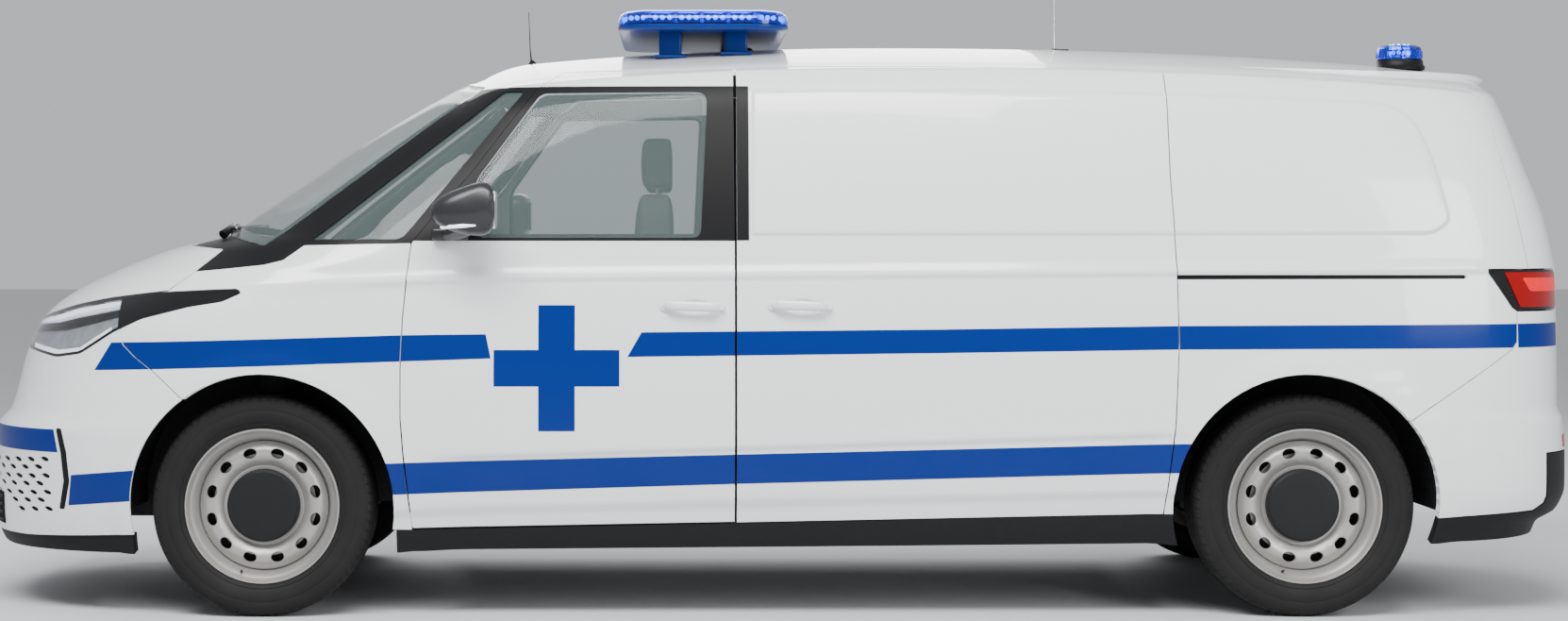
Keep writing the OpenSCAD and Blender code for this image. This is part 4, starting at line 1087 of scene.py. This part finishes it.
wheelShape = {"centreY": 827.5, "vents": 12, "ventR": 171, "ventLong": 21, "ventWide": 16}
tyreProfile = [(248, 96), (247, 103), (252, 108), (262, 112), (264, 110.5), (268, 113.5), (286, 116),
               (304, 115.5), (306, 114), (310, 114.5), (328, 109), (338, 103), (345, 95), (350.5, 87),
               (353.5, 78), (355, 66), (354, 64), (347, 63), (347, 55), (354.5, 54), (355, 52), (355, 24),
               (354.6, 22), (347, 21), (347, 12), (355, 11), (355, 9)]
tyreProfile += [(r, -a) for r, a in tyreProfile[::-1]]
tyreProfile += [(262, -90), (296, -98), (330, -88), (340, -60), (342, 0), (340, 60), (330, 88), (296, 98),
                (262, 90)]
rimProfile = [(243, 98), (246, 101), (248, 106), (246, 110), (242, 110), (238, 105), (235, 98), (229, 92),
              (222, 86), (217, 74), (213, 60), (208, 50), (204, 40), (206, -30), (218, -72), (236, -90),
              (241, -100), (246, -104), (248, -100), (243, -92), (224, -70), (212, -28), (211, 30),
              (216, 50), (222, 70), (228, 80), (235, 88), (241, 94)]


dishProfile = [(128, 54.6), (116, 53), (100, 50), (58, 50), (58, 20), (36, 20), (36, 14), (64, 14), (64, 44),
               (102, 44), (118, 46), (130, 49)]
capProfile = [(0.0, 91.5), (60, 91.3), (92, 91), (108, 89), (114, 84), (116, 76), (116, 50), (112, 50),
              (110, 76), (98, 84), (0.0, 84)]
curveHeight = curveThrough([(58, 50), (100, 50), (116, 53), (128, 55), (143, 64), (156, 72), (171, 75),
                            (186, 71), (196, 62), (204, 54), (210, 52)])


def buildWheel(name, x, side, body, tyreNode, rimNode):
    sign = 1 if side == "left" else -1
    place = (x, wheelShape["centreY"], axleZ)
    bm = bmesh.new()
    turned(bm, tyreProfile, place, (0, 1, 0), 120)
    finishFaces(bm, side)
    placePiece(f"tyre_{name}", bm, body, [tyreMaterial(f"rubber_{name}", x * mm, sign * place[1] * mm)],
               [tyreNode], smoothAngle=38)
    bm = bmesh.new()
    turned(bm, rimProfile, place, (0, 1, 0), 96)
    rings = []
    for level in range(6):
        ring = []
        for k in range(24):
            a = 2 * math.pi * k / 24
            hole = (wheelShape["ventR"] + math.sin(a) * wheelShape["ventWide"],
                    math.cos(a) * wheelShape["ventLong"] / wheelShape["ventR"])
            reach = max(abs(math.cos(a)), abs(math.sin(a)))
            edge = (172 + math.sin(a) / reach * (34 if math.sin(a) > 0 else 44),
                    math.cos(a) / reach * math.pi / wheelShape["vents"])
            if level == 0:
                r, turn, depth = hole[0], hole[1], -13
            else:
                t = (0.0, 0.035, 0.12, 0.45, 1.0)[level - 1]
                r = hole[0] + (edge[0] - hole[0]) * t
                turn = hole[1] + (edge[1] - hole[1]) * t
                depth = (-2.2, -0.4, 0, 0, 0)[level - 1]
            ring.append((r, turn, curveHeight(r) + depth))
        rings.append(ring)
    for vent in range(wheelShape["vents"]):
        base = 2 * math.pi * (vent + 0.5) / wheelShape["vents"]
        loftRings(bm, [[Vector((place[0] + r * math.cos(base + turn), place[1] + h,
                                place[2] + r * math.sin(base + turn))) * mm for r, turn, h in ring]
                       for ring in rings], caps=False)
    turned(bm, dishProfile, place, (0, 1, 0), 72)
    turned(bm, capProfile, place, (0, 1, 0), 72, material=1)
    turned(bm, [(75, 20), (198, 20), (198, 17), (75, 17)], place, (0, 1, 0), 64, material=1)
    turned(bm, [(60, 38), (165, 38), (165, 27), (60, 27)], place, (0, 1, 0), 64, material=0)
    angle = math.radians(-72)
    spot = Vector((place[0] + 222 * math.cos(angle), place[1] + 84, place[2] + 222 * math.sin(angle)))
    tube(bm, [spot, spot + Vector((-6 * math.cos(angle), 16, -6 * math.sin(angle)))], [4.5, 3.4], 10,
         material=1)
    bmesh.ops.remove_doubles(bm, verts=bm.verts[:], dist=2e-5)
    finishFaces(bm, side)
    placePiece(f"rim_{name}", bm, body, [rimSilver, capBlack], [rimNode], smoothAngle=32)


for end, x in (("front", frontX), ("rear", rearX)):
    for side, sign in bothSides:
        buildWheel(f"{end}_{side}", x, side, f"wheel_{end}_{side}", f"tyre_{end}_{side}", f"rim_{end}_{side}")
print("wheels ready")


# Handles, mirrors, roof equipment


def addHandle(name, spot, side, body):
    bm = bmesh.new()
    rings = []
    steps = 26
    for i in range(steps + 1):
        t = i / steps
        x = spot[0] + 102 - 204 * t
        z = spot[1] + 6 - 8 * t
        base = skinHit(x, z)
        normal = skinNormalAt(base)[0]
        arch = smooth(0, 0.2, t) * smooth(1, 0.8, t)
        high = 13 + 3 * math.sin(math.pi * t)
        end = min(1, math.sin(math.pi * max(0.02, min(0.98, t))) * 3.2)
        centre = base / mm + normal * (6 + 22 * arch)
        rings.append([(centre + Vector((0, 0, 1)) * math.sin(a) * high * end
                       + normal * math.cos(a) * 9 * end) * mm
                      for a in (2 * math.pi * k / 16 for k in range(16))])
    loftRings(bm, rings)
    for t in (0.06, 0.94):
        x = spot[0] + 102 - 204 * t
        base = skinHit(x, spot[1] + 3)
        normal = skinNormalAt(base)[0]
        tube(bm, [base / mm - normal * 3, base / mm + normal * 9], [15, 12], 20)
    lock = skinHit(spot[0] - 92, spot[1] - 1)
    normal = skinNormalAt(lock)[0]
    tube(bm, [lock / mm + normal * 8, lock / mm + normal * 17, lock / mm + normal * 17.6], [9, 8.4, 6], 20)
    finishFaces(bm, side)
    placePiece(name, bm, body, [paintWhite], smoothAngle=50)


for side, sign in bothSides:
    addHandle(f"handleDoor_{side}", handleSpots["door"], side, f"door_{side}")
    addHandle(f"handleSliding_{side}", handleSpots["sliding"], side, "body")


def addMirror(side):
    low, high = boxCorners("mirror_left")
    bm = bmesh.new()
    yIn, yOut = 992, high.y
    rings = []
    count, around = 18, 36
    for i in range(count + 1):
        t = i / count
        y = yIn + 26 + (yOut - yIn - 26) * t
        full = (1 - abs(2 * t - 1)**3.2)**0.42 if 0 < t < 1 else 0.04
        full = max(full, 0.04)
        ring = []
        for k in range(around):
            a = 2 * math.pi * k / around
            c, s = math.cos(a), math.sin(a)
            px = abs(c)**0.62 * (1 if c > 0 else -1)
            pz = abs(s)**0.66 * (1 if s > 0 else -1)
            nose = math.sqrt(max(0, 1 - (pz * 0.94)**2)) * 0.7 + 0.3
            x = 930 + px * (150 * full * nose if c > 0 else 50 * full**0.25) + (1 - t) * 24
            z = 1300 + pz * (84 - 14 * max(0, px)) * full + 6 * t - 10 * max(0, px)
            ring.append(Vector((x, y, z)) * mm)
        rings.append(ring)
    loftRings(bm, rings)
    tube(bm, [(1040, 958, 1222), (1015, 990, 1226), (985, 1030, 1236), (965, 1062, 1250)], [20, 19, 20, 24],
         16, flatten=1.6)
    roundedBox(bm, (980, 950, 1205), (1098, 976, 1243), 9)
    finishFaces(bm, side)
    placePiece(f"mirrorShell_{side}", bm, f"door_{side}", [mirrorDome], [f"mirror_{side}"])
    bm = bmesh.new()
    tube(bm, [(1052, 1046, 1246), (1056, 1070, 1247), (1048, 1100, 1248), (1024, 1128, 1249),
              (985, 1142, 1250), (945, 1146, 1251)], [3, 7, 8, 8, 7, 3], 12)
    finishFaces(bm, side)
    placePiece(f"mirrorIndicator_{side}", bm, f"door_{side}", [glowWhite])
    bm = bmesh.new()
    roundedBox(bm, (884, 1042, 1240), (893, 1138, 1358), 10, 4)
    finishFaces(bm, side)
    placePiece(f"mirrorGlass_{side}", bm, f"door_{side}", [mirrorGlass])


for side, sign in bothSides:
    addMirror(side)


def roofAt(x, y):
    hit = skinTree.ray_cast(Vector((x * mm, max(1, abs(y)) * mm, 3)), Vector((0, 0, -1)))
    return hit[0].z / mm


lightBar = {"x": 230, "half": 285, "halfY": 600, "corner": 120, "low": 1906, "top": 1970,
            "feetX": (120, 340), "feetY": (-470, 470), "modulePitch": 88}


def barRing(inset, z, count=12):
    cornerR = max(10, lightBar["corner"] - inset)
    hx, hy = lightBar["half"] - inset - cornerR, lightBar["halfY"] - inset - cornerR
    ring = []
    for cx, cy, start in ((hx, hy, 0), (-hx, hy, 90), (-hx, -hy, 180), (hx, -hy, 270)):
        for k in range(count + 1):
            a = math.radians(start + 90 * k / count)
            ring.append(Vector((lightBar["x"] + cx + cornerR * math.cos(a), cy + cornerR * math.sin(a),
                                z)) * mm)
    return ring


def buildLightBar():
    low, top = lightBar["low"], lightBar["top"]
    bm = bmesh.new()
    loftRings(bm, [barRing(i, z) for i, z in ((40, low - 4), (8, low - 2), (2, low + 3), (0, low + 9),
                                              (1, low + 14), (6, low + 16), (120, low + 16))])
    for fx in lightBar["feetX"]:
        for fy in lightBar["feetY"]:
            foot = roofAt(fx, fy)
            roundedBox(bm, (fx - 38, fy - 30, foot - 3), (fx + 38, fy + 30, low + 2), 8)
            roundedBox(bm, (fx - 54, fy - 44, foot - 4), (fx + 54, fy + 44, foot + 7), 5)
    finishFaces(bm)
    placePiece("lightBarBase", bm, "body", [barBlue], ["light_bar"])
    bm = bmesh.new()
    outside = [(1, low + 16), (1, low + 30), (4, low + 42), (12, low + 54), (26, top - 3), (48, top),
               (150, top + 2)]
    loftRings(bm, [barRing(i, z) for i, z in outside])
    finishFaces(bm)
    inner = bmesh.ops.duplicate(bm, geom=bm.verts[:] + bm.edges[:] + bm.faces[:])["geom"]
    verts = [g for g in inner if isinstance(g, bmesh.types.BMVert)]
    centre = Vector((lightBar["x"], 0, low + 36)) * mm
    for v in verts:
        v.co = centre + Vector(((v.co.x - centre.x) * 0.988, (v.co.y - centre.y) * 0.994,
                                (v.co.z - centre.z) * 0.88))
    bmesh.ops.reverse_faces(bm, faces=[g for g in inner if isinstance(g, bmesh.types.BMFace)])
    placePiece("lightBarCover", bm, "body", [lensBlue])
    bm = bmesh.new()
    path = barRing(26, low + 18, 4)
    path = path + path[:1]
    lengths = [(b - a).length for a, b in zip(path, path[1:])]
    total = sum(lengths)
    count = round(total / mm / lightBar["modulePitch"])
    for i in range(count):
        goal = total * i / count
        k = 0
        while goal > lengths[k]:
            goal -= lengths[k]
            k += 1
        along = (path[k + 1] - path[k]).normalized()
        spot = (path[k] + along * goal) / mm
        turn = Matrix.Translation(spot * mm) @ Matrix.Rotation(math.atan2(along.y, along.x), 4, "Z")
        part = bmesh.new()
        roundedBox(part, (-38, 0, 0), (38, 10, 38), 3, 2, material=0)
        for d in (-24, 0, 24):
            turned(part, [(0.0, -7), (6, -6), (8, -3), (8.5, 2), (0.0, 2)], (d, 0, 20), (0, 1, 0), 16,
                   material=1)
        finishFaces(part)
        bmesh.ops.transform(part, matrix=turn, verts=part.verts[:])
        data = bpy.data.meshes.new("part")
        part.to_mesh(data)
        part.free()
        bm.from_mesh(data)
        bpy.data.meshes.remove(data)
    roundedBox(bm, (lightBar["x"] - 200, -500, low + 16), (lightBar["x"] + 200, 500, low + 24), 3)
    placePiece("lightBarModules", bm, "body", [lampChrome, glowBlue])


buildLightBar()


def buildBeacon():
    low, high = boxCorners("rear_beacon")
    x, y = (low.x + high.x) / 2, (low.y + high.y) / 2
    foot = roofAt(x, y)
    top = high.z
    bm = bmesh.new()
    turned(bm, [(0.0, foot - 6), (84, foot - 6), (86, foot + 4), (80, foot + 12), (78, foot + 26),
                (72, foot + 30), (0.0, foot + 30)], (x, y, 0), (0, 0, 1), 64)
    finishFaces(bm)
    placePiece("beaconBase", bm, "body", [trimBlack], ["rear_beacon"])
    bm = bmesh.new()
    wall = [(76, foot + 30), (77, foot + 34), (75, top - 20), (71, top - 8), (60, top - 2), (30, top),
            (0.0, top)]
    turned(bm, wall + [(0.0, top - 4), (30, top - 4), (58, top - 6), (67, top - 11), (71, top - 20),
                       (73, foot + 34), (73, foot + 30)], (x, y, 0), (0, 0, 1), 64)
    for k in range(24):
        a = 2 * math.pi * k / 24
        tube(bm, [(x + 76.5 * math.cos(a), y + 76.5 * math.sin(a), foot + 36),
                  (x + 75.2 * math.cos(a), y + 75.2 * math.sin(a), top - 22)], 1.6, 8)
    finishFaces(bm)
    placePiece("beaconDome", bm, "body", [lensBlue])
    bm = bmesh.new()
    turned(bm, [(0.0, foot + 30), (40, foot + 30), (40, foot + 40), (30, foot + 44), (30, top - 26),
                (24, top - 20), (0.0, top - 20)], (x, y, 0), (0, 0, 1), 32)
    for k in range(10):
        a = 2 * math.pi * k / 10
        for z in (foot + 54, foot + 76):
            spot = Vector((x + 30 * math.cos(a), y + 30 * math.sin(a), z))
            out = Vector((math.cos(a), math.sin(a), 0))
            tube(bm, [spot, spot + out * 4, spot + out * 6], [6.5, 6, 3], 10, material=1)
    finishFaces(bm)
    placePiece("beaconLights", bm, "body", [lampChrome, glowBlue])


buildBeacon()


antennaPlaces = {"frontX": 830, "rodX": -1010, "domeX": 100, "domeY": 150}


def buildAntennas():
    front, _, top = boxCorners("antennas")[1]
    bm = bmesh.new()
    foot = roofAt(antennaPlaces["frontX"], 0)
    tube(bm, [(front - 22, 0, foot - 6), (front - 22, 0, foot + 3), (front - 20, 0, foot + 12),
              (front - 17, 0, foot + 20)], [22, 21, 12, 5], 24)
    tube(bm, [(front - 17, 0, foot + 18), (front - 13, 0, foot + 60), (front - 8, 0, foot + 190)],
         [3.0, 1.7, 1.1], 12)
    rodX = antennaPlaces["rodX"]
    foot = roofAt(rodX, 0)
    tube(bm, [(rodX, 0, foot - 4), (rodX, 0, foot + 6), (rodX, 0, foot + 14)], [34, 32, 14], 28)
    roundedBox(bm, (rodX - 52, -14, foot - 2), (rodX + 10, 14, foot + 12), 5)
    domeX, domeY = antennaPlaces["domeX"], antennaPlaces["domeY"]
    turned(bm, [(0.0, -4), (46, -4), (47, 2), (40, 9), (24, 13), (0.0, 14)],
           (domeX, domeY, roofAt(domeX, domeY)), (0, 0, 1), 48)
    finishFaces(bm)
    placePiece("antennaBases", bm, "body", [trimBlack], ["antennas"])
    bm = bmesh.new()
    tube(bm, [(rodX, 0, foot + 12), (rodX, 0, foot + 60), (rodX, 0, foot + 66), (rodX, 0, top)],
         [5, 4.2, 2.6, 2.0], 12)
    finishFaces(bm)
    placePiece("antennaRod", bm, "body", [brightMetal])


buildAntennas()
print("roof equipment ready")


# Wipers, spoiler, small parts


def buildWipers():
    bm = bmesh.new()
    for y0, y1 in ((520, -60), (-90, -640)):
        points = []
        for i in range(15):
            t = i / 14
            y = y0 + (y1 - y0) * t
            hit = skinTree.ray_cast(Vector((3, max(2, abs(y)) * mm, (1246 - 34 * abs(t - 0.4)) * mm)),
                                    Vector((-1, 0, 0)))[0]
            normal = skinNormalAt(Vector((hit.x, abs(y) * mm, hit.z)))[0]
            points.append(Vector((hit.x / mm, y, hit.z / mm)) + Vector((normal.x, 0, normal.z)) * 9)
        tube(bm, points, [3] + [7] * 13 + [3], 8)
        tube(bm, [points[0] + Vector((40, 30, -18)), points[0] + Vector((20, 0, 2)),
                  points[3] + Vector((4, 0, 9)), points[7] + Vector((2, 0, 8))], [16, 12, 8, 6], 12)
    finishFaces(bm)
    placePiece("wipers", bm, "body", [trimBlack])


buildWipers()


def rearHit(y, z):
    return skinTree.ray_cast(Vector((-4, max(1, abs(y)) * mm, z * mm)), Vector((1, 0, 0)))[0].x / mm


spoilerShape = {"half": 640, "reach": 46, "steps": 40}


def buildSpoiler():
    half, steps = spoilerShape["half"], spoilerShape["steps"]
    bm = bmesh.new()
    rings = []
    for i in range(steps + 1):
        y = -half + 2 * half * i / steps
        fade = max(0.05, 1 - abs(y / half)**6)
        upper, lower, under = rearHit(y, 1776), rearHit(y, 1752), rearHit(y, 1702)
        reach = spoilerShape["reach"] * fade
        rings.append([Vector((x, y, z)) * mm for x, z in ((upper + 3, 1777), (lower - reach * 0.6, 1764),
                                                          (lower - reach, 1752), (lower - reach - 2, 1744),
                                                          (lower - reach + 2, 1738),
                                                          (lower - reach * 0.5, 1726), (under + 2, 1704),
                                                          (under + 14, 1704), (upper + 12, 1768))])
    loftRings(bm, rings)
    finishFaces(bm)
    placePiece("spoiler", bm, "tailgate", [paintWhite], smoothAngle=50)
    bm = bmesh.new()
    xs = rearHit(0, 1744)
    roundedBox(bm, (xs - 52, -130, 1736), (xs - 40, 130, 1749), 3)
    placePiece("brakeLightHigh", bm, "tailgate", [lensRed])


buildSpoiler()


# Inside


def cushionForm(bm, low, high, crown=14, power=7.0, seams=(), lean=0.0, cuts=26, pucker=1.6, top="z"):
    # A padded form: a rounded block with a crowned face, sewn-in lines and soft creases
    middle = [(a + b) / 2 for a, b in zip(low, high)]
    half = [(b - a) / 2 for a, b in zip(low, high)]
    made = bmesh.ops.create_cube(bm, size=2)
    edges = list({e for v in made["verts"] for e in v.link_edges})
    bmesh.ops.subdivide_edges(bm, edges=edges, cuts=cuts, use_grid_fill=True)
    up = "xyz".index(top)
    flat = [i for i in range(3) if i != up]
    for v in bm.verts:
        a = list(v.co)
        size = sum(abs(c)**power for c in a)**(1 / power)
        p = [c / size for c in a]
        u, w = p[flat[0]], p[flat[1]]
        face = max(0, p[up])**2
        bulge = crown * max(0, 1 - u * u) * max(0, 1 - w * w) * face
        for axis, at, depth in seams:
            value = p[flat[axis]]
            bulge -= depth * math.exp(-((value - at) / 0.035)**2) * face
        bulge += pucker * math.sin(7 * u + 3 * w) * math.sin(5 * w - 2 * u + low[0]) * face
        place = [middle[i] + half[i] * p[i] for i in range(3)]
        place[up] += bulge
        place[0] += lean * (place[2] - low[2])
        v.co = Vector(place) * mm


def paddedPiece(name, body, material, replaces=(), slot=None, fill=0.7, **form):
    bm = bmesh.new()
    cushionForm(bm, **form)
    finishFaces(bm)
    piece = placePiece(name, bm, body, [material], replaces, smoothAngle=60)


seatShape = {"x": 700, "y": 400, "floor": 368}
for side, sign in bothSides:
    y = sign * seatShape["y"]
    base = seatShape["floor"]
    paddedPiece(f"seatCushion_{side}", "body", seatCloth, ["front_seats"] if side == "left" else (),
                low=(430, y - 250, base + 250), high=(935, y + 250, base + 400), crown=10,
                seams=((1, -0.62, 9), (1, 0.62, 9), (0, -0.1, 4)))
    paddedPiece(f"seatBack_{side}", "body", seatCloth, low=(330, y - 240, base + 380),
                high=(450, y + 240, base + 990), crown=16, seams=((0, -0.6, 9), (0, 0.6, 9), (1, 0.1, 4)),
                top="x")
    paddedPiece(f"headRest_{side}", "body", seatCloth, low=(335, y - 130, base + 1010),
                high=(430, y + 130, base + 1178), crown=8, top="x", cuts=16)
    bm = bmesh.new()
    for off in (-62, 62):
        tube(bm, [(382, y + off, base + 960), (382, y + off, base + 1050)], 6, 12)
    roundedBox(bm, (440, y - 215, base + 60), (900, y + 215, base + 262), 24, 3, material=1)
    roundedBox(bm, (450, y - 190, base), (490, y + 190, base + 70), 6, 2, material=1)
    roundedBox(bm, (840, y - 190, base), (880, y + 190, base + 70), 6, 2, material=1)
    placePiece(f"seatFrame_{side}", bm, "body", [brightMetal, insideGrey])
print("seats ready")


low, high = boxCorners("stretcher_mattress")
paddedPiece("mattressPad", "body", mattressBlue, ["stretcher_mattress"], low=(low.x, low.y, low.z),
            high=(high.x, high.y, high.z - 6), crown=6, power=14, seams=((0, -0.36, 7), (0, 0.3, 7)), cuts=44,
            pucker=1.0)
paddedPiece("pillow", "body", roomWhite, slot="mattress_cover", fill=0.6,
            low=(low.x + 20, low.y + 110, high.z - 4), high=(low.x + 330, high.y - 110, high.z + 78),
            crown=16, power=4.5, cuts=30, pucker=3)


def buildStretcherRails():
    bm = bmesh.new()
    low, high = boxCorners("stretcher")
    top = high.z
    for y in (low.y + 14, high.y - 14):
        for x0, x1 in ((low.x + 320, low.x + 900), (low.x + 960, low.x + 1540)):
            tube(bm, [(x0, y, top - 22), (x0, y, top + 130), (x0 + 14, y, top + 158),
                      (x0 + 44, y, top + 170), (x1 - 44, y, top + 170), (x1 - 14, y, top + 158),
                      (x1, y, top + 130), (x1, y, top - 22)], 9, 12)
            tube(bm, [(x0, y, top + 90), (x1, y, top + 90)], 6, 10)
    for x in (low.x + 140, high.x - 140):
        for y in (low.y + 40, high.y - 40):
            turned(bm, [(0.0, -12), (46, -12), (50, -8), (50, 8), (46, 12), (0.0, 12)], (x, y, low.z + 52),
                   (0, 1, 0), 40, material=1)
    finishFaces(bm)
    placePiece("stretcherRails", bm, "body", [brightMetal, capBlack])


def buildCabinetFittings():
    bm = bmesh.new()
    front = -520
    for row in (470, 860, 1250):
        for column in range(3):
            x = -1120 + column * 395
            tube(bm, [(x + 1, front - 26, row + 70), (x + 359, front - 26, row + 70)], 5, 10)
            for bin in range(2):
                roundedBox(bm, (x + 14 + bin * 170, front - 330, row + 2),
                           (x + 172 + bin * 170, front - 60, row + (150 if (row + column) % 2 else 110)),
                           14, 3, material=1 if (column + bin) % 2 else 2)
    finishFaces(bm)
    placePiece("cabinetFittings", bm, "body", [brightMetal, insideGrey, mattressBlue])


def buildSteeringWheel():
    bm = bmesh.new()
    turned(bm, [(178 + 15 * math.cos(a), 12 * math.sin(a)) for a in (2 * math.pi * k / 16
                                                                     for k in range(16))], (0, 0, 0),
           (0, 0, 1), 72)
    turned(bm, [(0.0, -34), (52, -34), (62, -22), (66, -6), (58, 6), (30, 12), (0.0, 14)], (0, 0, 0),
           (0, 0, 1), 48)
    for angle in (90, 210, 330):
        a = math.radians(angle)
        tube(bm, [(50 * math.cos(a), 50 * math.sin(a), -8), (110 * math.cos(a), 110 * math.sin(a), -6),
                  (172 * math.cos(a), 172 * math.sin(a), 0)], [20, 14, 12], 14)
    tube(bm, [(0, 0, -30), (0, 0, -120), (0, 0, -200)], [38, 34, 30], 20)
    finishFaces(bm)
    place = Matrix.Translation(Vector((1020, 390, 1130)) * mm) @ Matrix.Rotation(math.radians(-62), 4, "Y")
    bmesh.ops.transform(bm, matrix=place, verts=bm.verts[:])
    placePiece("steeringWheel", bm, "body", [capBlack], ["steering_wheel"])


def buildDashFittings():
    bm = bmesh.new()
    roundedBox(bm, (1134, -165, 1010), (1149, 130, 1168), 9, 3)
    roundedBox(bm, (1131, -156, 1019), (1134.5, 121, 1159), 1, 2, material=1)
    for y in (-640, -300, 240, 640):
        roundedBox(bm, (1140, y - 70, 1050), (1151, y + 70, 1096), 8, 3)
        for slat in range(4):
            roundedBox(bm, (1137, y - 62, 1056 + slat * 10), (1141, y + 62, 1060 + slat * 10), 1.5, 2,
                       material=1)
    roundedBox(bm, (1226, 250, 1190), (1250, 530, 1204), 6, 2)
    finishFaces(bm)
    placePiece("dashFittings", bm, "body", [capBlack, glossBlack])


buildStretcherRails()
buildCabinetFittings()
buildSteeringWheel()
buildDashFittings()
print("inside ready")

# CAD nodes that stay

keptNodes = {
    "floor_pan": (chassisBlack, "chassis_steel"), "front_subframe": (chassisBlack, "chassis_steel"),
    "rear_axle": (chassisBlack, "chassis_steel"), "crossmembers": (chassisBlack, "chassis_steel"),
    "knuckle_left": (steelGrey, "chassis_steel"), "knuckle_right": (steelGrey, "chassis_steel"),
    "battery_pack": (steelGrey, "chassis_steel"), "partition": (roomWhite, "grey_panel"),
    "cabinet": (roomWhite, "grey_panel"), "stretcher": (brightMetal, "bright_metal"),
    "dashboard": (insideGrey, "grey_panel"),
}
replaced = {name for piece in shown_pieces() for name in piece.get("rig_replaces", [])}
for name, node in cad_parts.items():
    if name in replaced:
        continue
    material, slotName = keptNodes.get(name, (insideGrey, None))
    node.data.materials.clear()
    node.data.materials.append(material)

# Floor, light, camera

floorMaterial, _ = newMaterial("floorPlain", (0.62, 0.63, 0.64), Roughness=0.75)
floorMesh = bmesh.new()
bmesh.ops.create_grid(floorMesh, x_segments=1, y_segments=1, size=60)
floorData = bpy.data.meshes.new("floor")
floorMesh.to_mesh(floorData)
floorMesh.free()
floorData.materials.append(floorMaterial)
floor = bpy.data.objects.new("floor", floorData)
bpy.context.scene.collection.objects.link(floor)

world = bpy.data.worlds.new("studio")
bpy.context.scene.world = world
world.use_nodes = True
world.node_tree.nodes["Background"].inputs[0].default_value = (0.78, 0.80, 0.83, 1)
world.node_tree.nodes["Background"].inputs[1].default_value = 0.75


def addLight(name, place, target, size, power, sizeY=None):
    light = bpy.data.lights.new(name, "AREA")
    light.energy = power
    light.size = size
    if sizeY:
        light.shape = "RECTANGLE"
        light.size_y = sizeY
    item = bpy.data.objects.new(name, light)
    item.location = place
    item.rotation_euler = (Vector(target) - Vector(place)).to_track_quat("-Z", "Y").to_euler()
    bpy.context.scene.collection.objects.link(item)


studioLights = {  # place, target, size, power, second size
    "keyLight": ((1.5, 5.5, 7.0), (0, 0, 0.8), 7, 1150, 3),
    "sideLight": ((-5.5, 6.5, 3.2), (-1.0, 0, 0.9), 3.5, 330),
    "backLight": ((0.5, -7.0, 5.0), (0, 0, 0.9), 5, 420),
}
for name, values in studioLights.items():
    addLight(name, *values)

view = {"place": (0.310, 9.97, 1.203), "lens": 64.98, "shiftX": 0.0668, "shiftY": -0.0445}
camera = bpy.data.cameras.new("camera")
camera.lens = view["lens"]
camera.sensor_width = 36
camera.shift_x = view["shiftX"]
camera.shift_y = view["shiftY"]
cameraObject = bpy.data.objects.new("camera", camera)
cameraObject.location = view["place"]
cameraObject.rotation_euler = (math.pi / 2, 0, math.pi)
bpy.context.scene.collection.objects.link(cameraObject)
bpy.context.scene.camera = cameraObject
bpy.context.view_layer.update()
